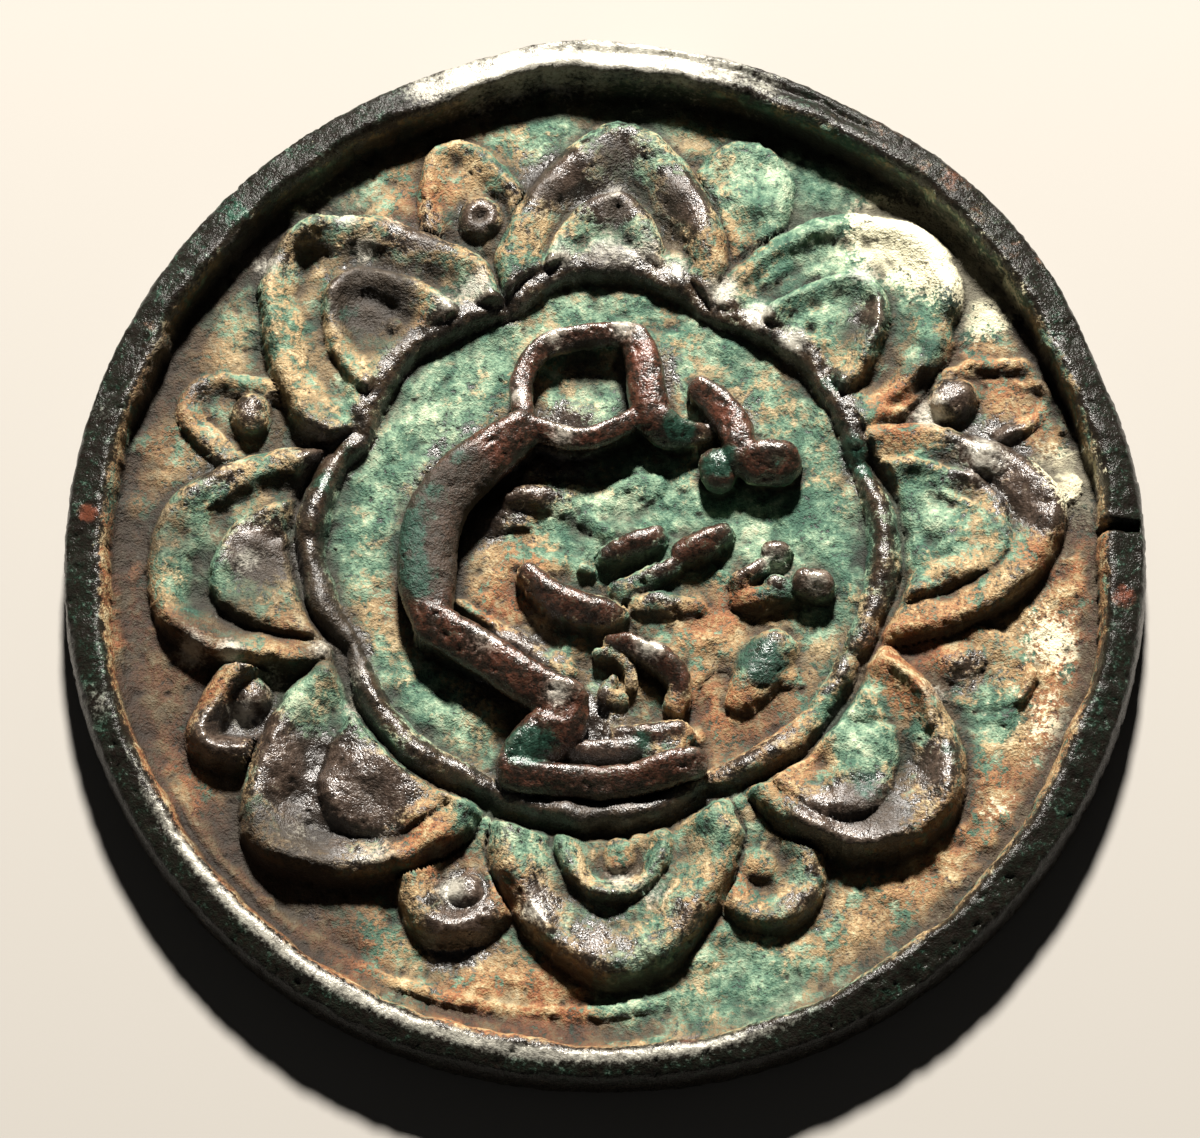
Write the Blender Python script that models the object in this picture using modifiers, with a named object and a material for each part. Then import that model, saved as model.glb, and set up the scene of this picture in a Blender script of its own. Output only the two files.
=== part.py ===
"""A small round bronze mirror, lying on its reflecting face with the cast back up.

The back carries a raised rim, eight large petals with eight low ones between them, a ridge frame of
eight lobes, and inside it a high branching figure whose neck makes the loop for the cord.
Places in the relief are shares of the field inside the rim: 100 is the field's radius. +X is the
right-hand side and +Y the upper side. Angles are in degrees, anticlockwise from +X.
"""
import bpy
import bmesh
import numpy as np

# Driving sizes, in metres
DISC_DIAMETER = 0.0658
PLATE_THICKNESS = 0.0020
RIM_WIDTH = 0.0024
RIM_HEIGHT = 0.0047
RIM_WALL = 0.0009
RIM_BEVEL = 0.0007
RIM_FILLET = 0.0034
OUTER_BULGE = 0.0016
UNDERCUT = 0.0005
PETAL_RISE = 0.0019
LEAF_RISE = 0.0010
SLOPE_OUT = 0.0011
SLOPE_IN = 0.0021
BOSS_HEIGHT = 0.0016
FRAME_RIDGE_WIDTH = 0.0020
FRAME_RIDGE_HEIGHT = 0.0016
# Width and height left at the ends of a lobe's arc, as shares of those at its middle
ARC_END_WIDTH = 0.55
ARC_END_HEIGHT = 0.45
ARC_SWELL = 0.5
ARC_ROUNDING = 0.6
STRING_RIDGE_WIDTH = 0.0011
STRING_RIDGE_HEIGHT = 0.0004
FIGURE_RISE = 0.0032
FILLET = 0.00018
CRACK_WIDTH = 0.0005
CRACK_DEPTH = 0.0016
TROUGH_DEPTH = 0.0006

DISC_RADIUS = DISC_DIAMETER / 2
FIELD_RADIUS = DISC_RADIUS - RIM_WIDTH
SHARE = FIELD_RADIUS / 100
RIM_RISE = RIM_HEIGHT - PLATE_THICKNESS
CREST_RADIUS = FIELD_RADIUS + 0.23 * RIM_WIDTH
TOP_RADIUS = DISC_RADIUS - 0.19 * RIM_WIDTH

# Fineness of the mesh
GRID_SIDE = 200
PLATE_FACES = 7300
FIGURE_FACES = 1400
CURVE_STEPS = 40
LIMB_SIDES = 16
FIGURE_VOXEL = DISC_DIAMETER / 300
FLOOR_SNAP = DISC_DIAMETER / 1600
SHARP_ANGLE = 50

# How the upper side of a free limb stands higher than the lower, and how square its section is
LIMB_SLANT = 0.55
LIMB_SQUARENESS = 0.72
LEAF_SLANT = 0.45

# Where the worn edge leaves its circle: angle, spread, distance as a share of the disc's radius
EDGE_FAULTS = (
    (94.0, 8.0, 0.015),
    (22.0, 7.0, -0.018),
    (62.0, 9.0, -0.009),
    (267.0, 22.0, -0.009),
)
# The share of the top's radius from which the wear draws the surface along
WEAR_START = 0.9
CRACK_ANGLE = 2.8
# The ground dips along the upper rim: angles, innermost radius
TROUGH = (8.0, 165.0, 86.0)
# The arc where the rim's inner wall runs gently down, and the wall's share elsewhere
GENTLE_WALL = (150.0, 330.0, 0.30)
# The radii at which large petals, leaves and low petals end inwards, and the width of that end
PETAL_STOP = 55.0
LEAF_STOP = 54.5
BACK_STOP = 57.5
STOP_WIDTH = 4.0

# tip angle, spread to the left, spread to the right, tip radius, foot radius, fullness,
# lip and plate as shares of the rise, outer and inner slope as shares of their widths
PETALS = {
    "right": (6.2, 19.4, 20.7, 90.2, 59.5, 1.8, 0.80, 0.28, 0.9, 1.35),
    "upper right": (44.5, 20.5, 15.4, 92.0, 63.5, 2.2, 0.72, 0.40, 1.2, 0.75),
    "top": (87.0, 20.0, 18.0, 90.5, 65.5, 1.4, 0.85, 0.35, 1.0, 1.35),
    "upper left": (134.2, 19.6, 22.4, 92.0, 65.5, 1.5, 0.90, 0.42, 0.9, 0.85),
    "left": (181.0, 17.5, 21.5, 88.5, 59.5, 2.7, 0.80, 0.40, 1.0, 0.95),
    "lower left": (221.2, 20.5, 19.0, 88.0, 60.0, 1.65, 1.00, 0.50, 1.15, 1.15),
    "bottom": (272.0, 20.5, 20.5, 83.0, 61.5, 1.55, 0.97, 0.55, 1.35, 1.2),
    "lower right": (321.4, 18.3, 18.5, 83.5, 59.5, 2.0, 1.00, 0.50, 1.1, 1.4),
}
# The smaller leaf that lies on each large petal
LEAVES = {
    "right": (5.4, 13.0, 12.4, 79.5, 59.0, 2.3, 0.75, 0.35, 0.7, 0.7),
    "upper right": (46.6, 8.9, 9.7, 78.0, 62.5, 1.8, 1.05, 0.45, 0.6, 0.6),
    "top": (88.3, 10.6, 8.9, 76.0, 62.5, 2.1, 0.95, 0.15, 0.6, 0.8),
    "upper left": (132.6, 10.5, 11.9, 78.5, 60.5, 2.1, 0.95, 0.05, 0.6, 0.9),
    "left": (182.9, 10.5, 15.5, 76.5, 57.5, 2.25, 0.95, 0.60, 0.6, 0.8),
    "lower left": (224.4, 12.0, 11.0, 73.5, 57.5, 1.95, 0.80, 0.92, 0.8, 0.8),
    "bottom": (271.7, 9.8, 10.2, 68.5, 59.0, 2.0, 0.85, -0.25, 0.6, 0.55),
    "lower right": (316.5, 14.5, 9.0, 71.5, 55.5, 2.25, 0.75, 1.05, 0.9, 1.0),
}
# The low petals behind, which show between the large ones
BACK_PETALS = {
    "right upper": (23.0, 8.0, 7.0, 94.8, 72.0, 3.0, 0.35, 0.10, 0.6, 0.4),
    "top right": (69.8, 8.0, 7.0, 92.0, 72.0, 2.4, 0.45, 0.30, 0.8, 0.5),
    "top left": (109.8, 8.5, 8.5, 93.5, 72.0, 1.9, 0.55, 0.20, 0.7, 0.6),
    "left upper": (157.5, 8.0, 7.5, 91.0, 69.0, 2.2, 0.35, 0.08, 0.6, 0.5),
    "left lower": (204.5, 8.0, 9.0, 87.0, 69.0, 1.6, 1.00, 0.12, 1.3, 0.65),
    "bottom left": (246.0, 9.0, 9.5, 80.5, 64.0, 2.2, 0.80, 0.36, 1.4, 0.8),
    "bottom right": (297.0, 9.0, 9.5, 80.0, 65.5, 2.6, 0.68, 0.30, 1.0, 0.7),
    "right lower": (343.0, 7.5, 6.5, 87.5, 69.0, 2.2, 0.25, 0.15, 0.6, 0.4),
}
# angle, radius, half-width, share of the boss's height
BOSSES = (
    (25.9, 77.7, 5.1, 0.97),
    (69.2, 80.7, 5.2, 0.45),
    (109.1, 76.1, 4.8, 0.90),
    (156.4, 77.4, 4.4, 1.10),
    (200.7, 74.8, 4.3, 1.00),
    (248.0, 72.1, 4.6, 1.00),
    (296.2, 69.8, 4.4, 0.78),
    (343.0, 73.8, 5.6, 0.35),
    (88.1, 87.2, 3.3, 1.05),
    (131.2, 64.9, 2.0, 0.85),
    (272.7, 60.3, 3.8, 0.72),
)
# cusp angle, cusp radius, radius at the middle of the lobe that follows
FRAME_LOBES = (
    (-22.0, 52.1, 56.0),
    (21.3, 54.1, 58.0),
    (67.4, 56.1, 62.0),
    (110.0, 56.1, 58.7),
    (152.0, 54.8, 59.0),
    (197.5, 52.1, 53.4),
    (245.0, 50.8, 52.1),
    (293.5, 49.8, 52.1),
)
# A low string ridge along the lower side of the field: angle, radius
STRING_RIDGE = ((226.0, 96.5), (240.0, 95.0), (253.0, 93.8), (265.0, 91.5), (277.0, 90.2))

# Large folds and cuts of the carving: route, width, height as a share of the petals' rise
CARVING = {
    "petal tip grown into the rim": (((-58.9, 69.6), (-64.4, 74.5), (-69.9, 78.8)), 6.4, 0.40),
    "top petal, left flank": (((-16.9, 69.3), (-11.9, 76.9), (-4.8, 83.2)), 5.4, 0.18),
    "top petal, right flank": (((12.2, 80.3), (17.4, 71.7), (21.0, 64.3)), 5.4, 0.16),
    "upper right leaf, right flank": (((53.5, 55.2), (54.8, 48.2), (53.0, 40.9)), 3.0, 0.24),
    "cut beside the knob": (((64.3, 38.3), (60.9, 33.8), (57.9, 32.1)), 2.0, -0.29),
    "lower right petal, upper lip": (((58.1, -21.9), (61.6, -25.8), (63.9, -30.9), (64.5, -34.6)), 2.5, 0.32),
    "ledge under the bar": (((-22.7, 8.7), (-16.7, 11.0), (-8.7, 12.2)), 5.9, 0.24),
    "ledge, right end": (((-3.7, 11.1), (3.3, 13.8), (9.2, 15.8)), 4.9, 0.18),
    "fold above the limb": (((-31.4, -7.7), (-26.6, -10.0), (-22.2, -12.5)), 2.0, 0.37),
    "shelf behind the limb": (((-21.0, -15.0), (-14.6, -19.1), (-7.7, -22.5)), 3.9, 0.32),
}
# Swellings and hollows of the ground: x, y, radius, height as a share of the petals' rise
MOUNDS = (
    (-6.0, 6.0, 12.0, 0.16), (12.0, -4.0, 12.0, 0.18), (22.0, -14.0, 9.0, 0.18), (10.0, -28.0, 9.0, 0.24),
    (36.0, -4.0, 8.0, 0.18), (4.0, -42.0, 7.0, 0.26), (-10.0, -8.0, 9.0, 0.16), (31.0, -19.0, 4.4, 0.26),
    (92.1, 15.2, 4.8, 0.18), (41.8, 47.3, 3.2, 0.29), (53.2, -39.6, 3.8, 0.18), (-43.2, -47.6, 4.8, 0.16),
    (-70.3, 64.2, 3.6, -0.32), (71.5, 48.8, 2.4, -0.29),
)

# The figure: x, y, height of the middle line over the ground and radius as shares of its rise
NECK = ((-16.2, 25.6, 0.66, 0.39), (-20.6, 22.4, 0.62, 0.45), (-25.8, 18.4, 0.59, 0.50),
        (-30.6, 13.5, 0.56, 0.52), (-33.8, 7.8, 0.53, 0.55), (-35.0, 1.3, 0.50, 0.56),
        (-35.1, -5.2, 0.48, 0.55), (-34.5, -10.7, 0.50, 0.45))
LOOP = ((-15.5, 27.3, 0.66, 0.22), (-16.5, 32.1, 0.56, 0.21), (-16.3, 37.1, 0.52, 0.20),
        (-14.6, 41.7, 0.50, 0.19), (-10.9, 44.9, 0.50, 0.19), (-5.5, 46.0, 0.52, 0.18),
        (0.3, 46.1, 0.55, 0.19), (5.3, 45.6, 0.61, 0.23))
BAR = ((-15.8, 26.3, 0.69, 0.24), (-11.4, 25.1, 0.75, 0.22), (-6.2, 23.5, 0.77, 0.21),
       (-1.1, 24.4, 0.73, 0.21), (3.7, 26.7, 0.67, 0.21), (6.5, 28.5, 0.59, 0.19))
FALL = ((6.1, 45.2, 0.62, 0.28), (7.5, 41.8, 0.62, 0.34), (8.3, 37.3, 0.59, 0.37),
        (8.9, 32.4, 0.56, 0.38), (10.3, 28.4, 0.50, 0.37), (13.3, 26.1, 0.42, 0.33),
        (17.2, 25.7, 0.36, 0.25), (20.6, 26.0, 0.30, 0.17))
LIMB = ((-34.0, -13.8, 0.58, 0.39), (-28.0, -17.5, 0.66, 0.39), (-22.2, -21.3, 0.69, 0.40),
        (-16.3, -25.4, 0.69, 0.41), (-11.3, -28.2, 0.66, 0.41), (-7.2, -29.8, 0.62, 0.41))
BEND = ((-7.2, -29.9, 0.58, 0.42), (-8.2, -33.6, 0.45, 0.50), (-11.4, -36.7, 0.37, 0.52),
        (-15.4, -39.5, 0.39, 0.44), (-18.1, -42.3, 0.44, 0.33))
BASE = ((-18.1, -44.3, 0.44, 0.31), (-12.6, -45.3, 0.47, 0.31), (-5.6, -45.9, 0.48, 0.31),
        (0.3, -46.4, 0.48, 0.31), (7.2, -45.5, 0.50, 0.32), (13.1, -43.5, 0.52, 0.33),
        (17.5, -42.5, 0.52, 0.31))
ROD = ((19.3, 34.9, 0.47, 0.24), (22.5, 31.9, 0.50, 0.30), (25.5, 27.8, 0.53, 0.33),
       (26.8, 24.0, 0.55, 0.33), (27.4, 20.7, 0.53, 0.30))
KNOBS = (((22.4, 19.2, 0.36, 0.34), (23.0, 17.2, 0.31, 0.34)),
         ((30.6, 19.2, 0.45, 0.41), (35.2, 19.2, 0.45, 0.42)))
FREE_LIMBS = (NECK, LOOP, BAR, FALL, LIMB, BEND, BASE, ROD) + KNOBS
# What stands on a web that runs down to the ground, and how far the web reaches past the middle line
WEBBED = (NECK, LOOP[:3], BAR, FALL, LIMB, BEND, BASE, ROD) + KNOBS
WEB_LIFT = 0.25

# The low leaves, buds and fruits beside the figure, in the same shares
FOLIAGE = (
    ((1.6, -17.7, 0.37, 0.16), (4.8, -18.2, 0.47, 0.20), (9.2, -20.2, 0.50, 0.25),
     (13.5, -23.0, 0.47, 0.26), (15.3, -26.6, 0.37, 0.25), (14.3, -30.5, 0.28, 0.22)),
    ((-1.2, -19.8, 0.31, 0.14), (2.0, -19.7, 0.34, 0.15), (4.8, -22.3, 0.31, 0.14),
     (5.6, -25.8, 0.25, 0.12)),
    ((4.0, -28.5, 0.17, 0.16), (1.0, -27.3, 0.20, 0.16), (1.4, -24.9, 0.22, 0.13)),
    ((-14.7, -3.7, 0.34, 0.25), (-11.1, -7.6, 0.37, 0.34), (-6.3, -10.4, 0.34, 0.36),
     (-0.8, -11.6, 0.27, 0.34), (2.8, -11.6, 0.17, 0.25)),
    ((0.8, 1.7, 0.30, 0.23), (5.6, 3.1, 0.36, 0.28), (10.4, 4.7, 0.31, 0.22)),
    ((-4.0, -1.2, 0.23, 0.13), (-2.6, -1.7, 0.19, 0.12)),
    ((15.6, 0.7, 0.30, 0.27), (19.8, 2.7, 0.33, 0.33), (23.6, 5.3, 0.28, 0.23)),
    ((2.8, -6.3, 0.19, 0.25), (8.2, -3.9, 0.22, 0.26), (13.6, -1.5, 0.23, 0.22)),
    ((7.2, -8.7, 0.14, 0.25), (12.7, -9.2, 0.17, 0.27), (19.1, -9.7, 0.12, 0.19)),
    ((34.3, 0.8, 0.30, 0.25), (35.3, 0.6, 0.30, 0.25)),
    ((27.9, -4.6, 0.27, 0.25), (31.5, -2.5, 0.30, 0.19)),
    ((27.5, -7.4, 0.14, 0.25), (32.2, -8.1, 0.16, 0.26), (37.0, -7.5, 0.16, 0.22)),
    ((34.6, -6.0, 0.30, 0.21), (35.8, -6.2, 0.28, 0.19)),
    ((40.8, -5.5, 0.33, 0.29), (43.2, -5.9, 0.33, 0.31)),
    ((33.0, -18.9, 0.00, 0.48), (30.4, -23.6, 0.00, 0.45), (27.5, -28.6, 0.00, 0.30)),
    ((4.4, -36.0, 0.17, 0.25), (9.1, -36.6, 0.23, 0.31), (14.3, -36.5, 0.23, 0.31)),
    ((-5.1, -38.9, 0.30, 0.23), (0.4, -39.4, 0.30, 0.25), (6.4, -38.5, 0.27, 0.23)),
    ((10.1, -39.6, 0.19, 0.27), (14.3, -39.2, 0.19, 0.27)),
    ((-18.0, 12.2, 0.08, 0.25), (-12.8, 12.1, 0.11, 0.30), (-8.4, 11.0, 0.09, 0.23)),
    ((-4.2, 8.5, 0.09, 0.19), (-0.0, 5.9, 0.11, 0.17)),
)

BRONZE_COLOUR = (0.10, 0.085, 0.060, 1.0)


def clear_scene():
    for obj in list(bpy.data.objects):
        bpy.data.objects.remove(obj, do_unlink=True)


def new_collection(name):
    collection = bpy.data.collections.new(name)
    bpy.context.scene.collection.children.link(collection)
    return collection


def bronze():
    material = bpy.data.materials.new("patinated bronze")
    material.use_nodes = True
    shader = material.node_tree.nodes["Principled BSDF"]
    shader.inputs["Base Color"].default_value = BRONZE_COLOUR
    shader.inputs["Roughness"].default_value = 0.55
    shader.inputs["Metallic"].default_value = 0.75
    return material


def smooth(t):
    t = np.clip(t, 0.0, 1.0)
    return t * t * (3.0 - 2.0 * t)


def soft_max(a, b, width):
    """The higher of two surfaces, with a fillet of the given width where they meet."""
    t = np.clip(0.5 + 0.5 * (a - b) / width, 0.0, 1.0)
    return b * (1.0 - t) + a * t + width * t * (1.0 - t) / 2


def at(angle, radius):
    """The point at an angle and a radius in shares."""
    turn = np.radians(angle)
    return np.stack([radius * SHARE * np.cos(turn), radius * SHARE * np.sin(turn)], -1)


def smooth_route(rows, steps):
    """A Catmull-Rom curve through the rows."""
    rows = np.asarray(rows, float)
    ends = np.vstack([2 * rows[0] - rows[1], rows, 2 * rows[-1] - rows[-2]])
    route = []
    for before, start, end, after in zip(ends[:-3], ends[1:-2], ends[2:-1], ends[3:]):
        for t in np.linspace(0.0, 1.0, steps, endpoint=False):
            bend = 2 * before - 5 * start + 4 * end - after
            twist = 3 * start - before - 3 * end + after
            route.append(0.5 * (2 * start + (end - before) * t + bend * t ** 2 + twist * t ** 3))
    route.append(rows[-1])
    return np.array(route)


def along(x, y, start, end):
    """Distance from a straight stretch, and how far along it the nearest point is."""
    run = end[:2] - start[:2]
    length = max(float(run @ run), 1e-18)
    t = np.clip(((x - start[0]) * run[0] + (y - start[1]) * run[1]) / length, 0.0, 1.0)
    return np.hypot(x - start[0] - t * run[0], y - start[1] - t * run[1]), t


def distance_to(x, y, route):
    nearest = np.full(x.shape, 1.0)
    for start, end in zip(route[:-1], route[1:]):
        gap, _ = along(x, y, start, end)
        nearest = np.minimum(nearest, gap)
    return nearest


def near(x, y, route, margin):
    """Which points lie in the box around a route."""
    low, high = route[:, :2].min(0) - margin, route[:, :2].max(0) + margin
    return (x > low[0]) & (x < high[0]) & (y > low[1]) & (y < high[1])


def petal_height(x, y, row, stop, rise):
    """A dished plate with a lip along its pointed outline, ending inwards at the radius stop."""
    tip, left, right, tip_radius, foot_radius, fullness, lip, plate, out, inn = row
    t = np.sin(np.linspace(-np.pi / 2, np.pi / 2, CURVE_STEPS))
    angles = tip + np.where(t > 0, left * t, right * t)
    outline = at(angles, foot_radius + (tip_radius - foot_radius) * (1 - np.abs(t) ** fullness))
    foot_a = at(tip - right, stop)[None]
    foot_b = at(tip + left, stop)[None]
    outline = np.concatenate([foot_a, outline, foot_b])
    height = np.zeros_like(x)
    window = near(x, y, outline, SLOPE_OUT * out)
    x, y = x[window], y[window]
    gap = distance_to(x, y, outline)
    radius = np.hypot(x, y)
    turn = (np.degrees(np.arctan2(y, x)) - tip + 180) % 360 - 180
    t = np.where(turn > 0, turn / left, -turn / right)
    edge = foot_radius + (tip_radius - foot_radius) * (1 - np.clip(t, 0, 1) ** fullness)
    inside = (t < 1) & (radius < edge * SHARE)
    outer = lip * np.clip(1 - (gap / (SLOPE_OUT * out)) ** 1.7, 0, 1) ** 0.7
    inner = plate + (lip - plate) * (1 - np.clip(gap / (SLOPE_IN * inn), 0, 1) ** 1.5) ** 1.3
    height[window] = rise * np.where(inside, inner, outer) * smooth((radius / SHARE - stop) / STOP_WIDTH)
    return height


def ridge_height(x, y, route, width, height):
    gap = distance_to(x, y, route)
    return height * np.clip(1 - (2 * gap / width) ** 2, 0, 1) ** 0.5


def carved(x, y, rows, width, height):
    """A fold or a cut that fades towards its sides and its ends."""
    route = smooth_route(np.array(rows) * SHARE, 5)
    depth = np.zeros_like(x)
    window = near(x, y, route, width)
    gap = distance_to(x[window], y[window], route)
    depth[window] = height * np.cos(np.pi / 2 * np.clip(gap / width, 0, 1)) ** 2
    return depth


def boss_height(x, y, angle, radius, half, share):
    centre = at(angle, radius)
    gap = np.hypot(x - centre[0], y - centre[1]) / (half * SHARE)
    return BOSS_HEIGHT * share * np.sqrt(np.clip(1 - gap ** 2.4, 0, 1))


def spot(x, y, place_x, place_y, radius):
    """One at a place in shares, fading to nothing round about."""
    return np.exp(-((x / SHARE - place_x) ** 2 + (y / SHARE - place_y) ** 2) / radius ** 2)


def frame_route():
    """The closed line of the eight-lobed frame."""
    points = []
    for (angle, cusp, middle), (next_angle, next_cusp, _) in zip(
            FRAME_LOBES, FRAME_LOBES[1:] + FRAME_LOBES[:1]):
        sweep = (next_angle - angle) % 360
        for t in np.linspace(0, 1, 14, endpoint=False):
            bow = middle - (cusp + next_cusp) / 2
            radius = cusp + (next_cusp - cusp) * t + bow * np.sin(np.pi * t) ** 0.8
            points.append(at(angle + sweep * t, radius))
    points.append(points[0])
    return np.array(points)


def frame_height(x, y):
    """The ridge frame: each lobe is an arc of its own that thins and dips towards its ends."""
    angle = np.degrees(np.arctan2(y, x))
    swell = np.zeros_like(x)
    for (start, _, _), (end, _, _) in zip(FRAME_LOBES, FRAME_LOBES[1:] + FRAME_LOBES[:1]):
        t = ((angle - start) % 360) / ((end - start) % 360)
        swell = np.maximum(swell, np.sin(np.pi * np.clip(t, 0, 1)) ** ARC_SWELL)
    gap = distance_to(x, y, frame_route())
    width = FRAME_RIDGE_WIDTH * (ARC_END_WIDTH + (1 - ARC_END_WIDTH) * swell)
    height = FRAME_RIDGE_HEIGHT * (ARC_END_HEIGHT + (1 - ARC_END_HEIGHT) * swell)
    return height * np.clip(1 - (2 * gap / width) ** 2, 0, 1) ** ARC_ROUNDING


def edge_shift(angle):
    """How far the worn edge lies outside its circle."""
    shift = np.zeros_like(angle)
    for middle, spread, distance in EDGE_FAULTS:
        turn = (angle - middle + 180) % 360 - 180
        shift += distance * DISC_RADIUS * np.exp(-(turn / spread) ** 2)
    return shift


def arc_window(angle, start, end, fade):
    """One between two angles, fading at both ends."""
    angle = (angle - start) % 360
    return smooth(angle / fade) * smooth((end - start - angle) / fade)


def rim_height(x, y):
    """The rim: a steep inner wall, a crest near it and a bevel that slopes outwards, with a crack."""
    radius = np.hypot(x, y)
    angle = np.degrees(np.arctan2(y, x))
    radius = radius - edge_shift(angle) * smooth((radius - FIELD_RADIUS) / RIM_WIDTH + 1)
    inwards = np.clip((CREST_RADIUS - radius) / RIM_WALL, 0, 1)
    outwards = np.clip((radius - CREST_RADIUS) / (DISC_RADIUS - CREST_RADIUS), 0, 1)
    bead = RIM_RISE * (1 - inwards ** 2.4) ** 0.5 - RIM_BEVEL * outwards ** 1.2
    start, end, least = GENTLE_WALL
    gentle = least + (1 - least) * arc_window(angle, start, end, 50)
    foot = np.clip(1 - (CREST_RADIUS - radius) / (RIM_FILLET * gentle), 0, 1)
    fillet = np.where(radius < CREST_RADIUS, 0.55 * gentle * RIM_RISE * foot ** 2, 0.0)
    from_crack = (angle - CRACK_ANGLE) * np.pi / 180 * radius
    crack = CRACK_DEPTH * np.exp(-(2 * from_crack / CRACK_WIDTH) ** 2)
    return np.maximum(bead, fillet) - np.minimum(crack, np.maximum(bead, 0))


def raised(x, y, rows, web=False):
    """Height over the ground of a rounded limb, or of the web that carries it."""
    top = np.zeros_like(x)
    route = smooth_route(rows, 5) * np.array([SHARE, SHARE, FIGURE_RISE, FIGURE_RISE])
    window = near(x, y, route, route[:, 3].max())
    x, y = x[window], y[window]
    highest = np.zeros_like(x)
    for start, end in zip(route[:-1], route[1:]):
        gap, t = along(x, y, start, end)
        middle = start[2] + (end[2] - start[2]) * t
        radius = start[3] + (end[3] - start[3]) * t
        above = np.clip((y - start[1] - (end[1] - start[1]) * t) / radius, -1, 1)
        round_top = np.sqrt(np.clip(radius ** 2 - gap ** 2, 0, None)) * (1 + LEAF_SLANT * above)
        height = middle + (WEB_LIFT * radius if web else round_top)
        highest = np.maximum(highest, np.where(gap < radius, height, 0.0))
    top[window] = highest
    return top


def relief(x, y):
    """Height of the cast back over the underside."""
    back = np.zeros_like(x)
    for row in BACK_PETALS.values():
        back = np.maximum(back, petal_height(x, y, row, BACK_STOP, PETAL_RISE))
    front = np.zeros_like(x)
    for name, row in PETALS.items():
        petal = petal_height(x, y, row, PETAL_STOP, PETAL_RISE)
        leaf = petal_height(x, y, LEAVES[name], LEAF_STOP, LEAF_RISE)
        front = np.maximum(front, petal + leaf)
    height = soft_max(back, front, FILLET)
    for boss in BOSSES:
        height = soft_max(height, boss_height(x, y, *boss), FILLET)
    height = soft_max(height, frame_height(x, y), FILLET)
    string = np.array([at(angle, radius) for angle, radius in smooth_route(STRING_RIDGE, 4)])
    height = soft_max(height, ridge_height(x, y, string, STRING_RIDGE_WIDTH, STRING_RIDGE_HEIGHT), FILLET)
    for rows, width, rise in CARVING.values():
        height = height + carved(x, y, rows, width * SHARE, rise * PETAL_RISE)
    for place_x, place_y, radius, rise in MOUNDS:
        height = height + rise * PETAL_RISE * spot(x, y, place_x, place_y, radius)
    for rows in FOLIAGE:
        height = soft_max(height, raised(x, y, rows), FILLET)
    for rows in WEBBED:
        height = soft_max(height, raised(x, y, rows, web=True), FILLET)
    start, end, inner = TROUGH
    trough = arc_window(np.degrees(np.arctan2(y, x)), start, end, 30)
    trough = trough * smooth((np.hypot(x, y) / SHARE - inner) / 10)
    height = height - TROUGH_DEPTH * trough * (1 - 0.6 * smooth(height / PETAL_RISE))
    height = soft_max(height, rim_height(x, y), 2 * FILLET)
    return PLATE_THICKNESS + height


def disc_from_square(u, v):
    """Even rings and spokes from a square grid of -1 to 1: radius from 0 to 1, and angle."""
    wide = np.abs(u) >= np.abs(v)
    radius = np.where(wide, np.abs(u), np.abs(v))
    safe = np.where(radius > 0, radius, 1.0)
    flat = np.where(u >= 0, v / safe * 45, 180 - v / safe * 45)
    steep = np.where(v >= 0, 90 - u / safe * 45, 270 + u / safe * 45)
    return radius, np.where(wide, flat, steep)


def read_points(mesh):
    points = np.empty(len(mesh.vertices) * 3)
    mesh.vertices.foreach_get("co", points)
    return points.reshape(-1, 3)


def make_plate():
    """The mirror's disc: relief on top, rounded outer side and flat reflecting face below."""
    bpy.ops.mesh.primitive_grid_add(x_subdivisions=GRID_SIDE, y_subdivisions=GRID_SIDE, size=2)
    plate = bpy.context.object
    mesh = plate.data
    points = read_points(mesh)
    ring, angle = disc_from_square(points[:, 0], points[:, 1])
    turn = np.radians(angle)
    reach = ring * TOP_RADIUS + edge_shift(angle) * smooth((ring - WEAR_START) / (1 - WEAR_START))
    points[:, 0] = reach * np.cos(turn)
    points[:, 1] = reach * np.sin(turn)
    points[:, 2] = relief(points[:, 0], points[:, 1])
    mesh.vertices.foreach_set("co", points.ravel())

    form = bmesh.new()
    form.from_mesh(mesh)
    border = [edge for edge in form.edges if edge.is_boundary]
    widest = DISC_RADIUS - TOP_RADIUS
    shoulder = float(np.mean([corner.co.z for edge in border for corner in edge.verts]))
    upper = [(share, OUTER_BULGE + (shoulder - OUTER_BULGE) * share) for share in (0.7,)]
    lower = [(share, OUTER_BULGE * (1 - share)) for share in (0.0, 0.6, 1.0)]
    for share, height in upper + lower:
        out = widest * (1 - share ** 2) ** 0.5 if height > OUTER_BULGE else widest - UNDERCUT * share ** 2
        grown = bmesh.ops.extrude_edge_only(form, edges=border)["geom"]
        border = [part for part in grown if isinstance(part, bmesh.types.BMEdge)]
        corners = [part for part in grown if isinstance(part, bmesh.types.BMVert)]
        for corner in corners:
            angle = np.degrees(np.arctan2(corner.co.y, corner.co.x))
            reach = TOP_RADIUS + out + float(edge_shift(np.array([angle]))[0])
            corner.co.x = reach * np.cos(np.radians(angle))
            corner.co.y = reach * np.sin(np.radians(angle))
            corner.co.z = height
    bmesh.ops.contextual_create(form, geom=border)
    bmesh.ops.recalc_face_normals(form, faces=form.faces)
    form.to_mesh(mesh)
    form.free()
    return plate


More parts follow.
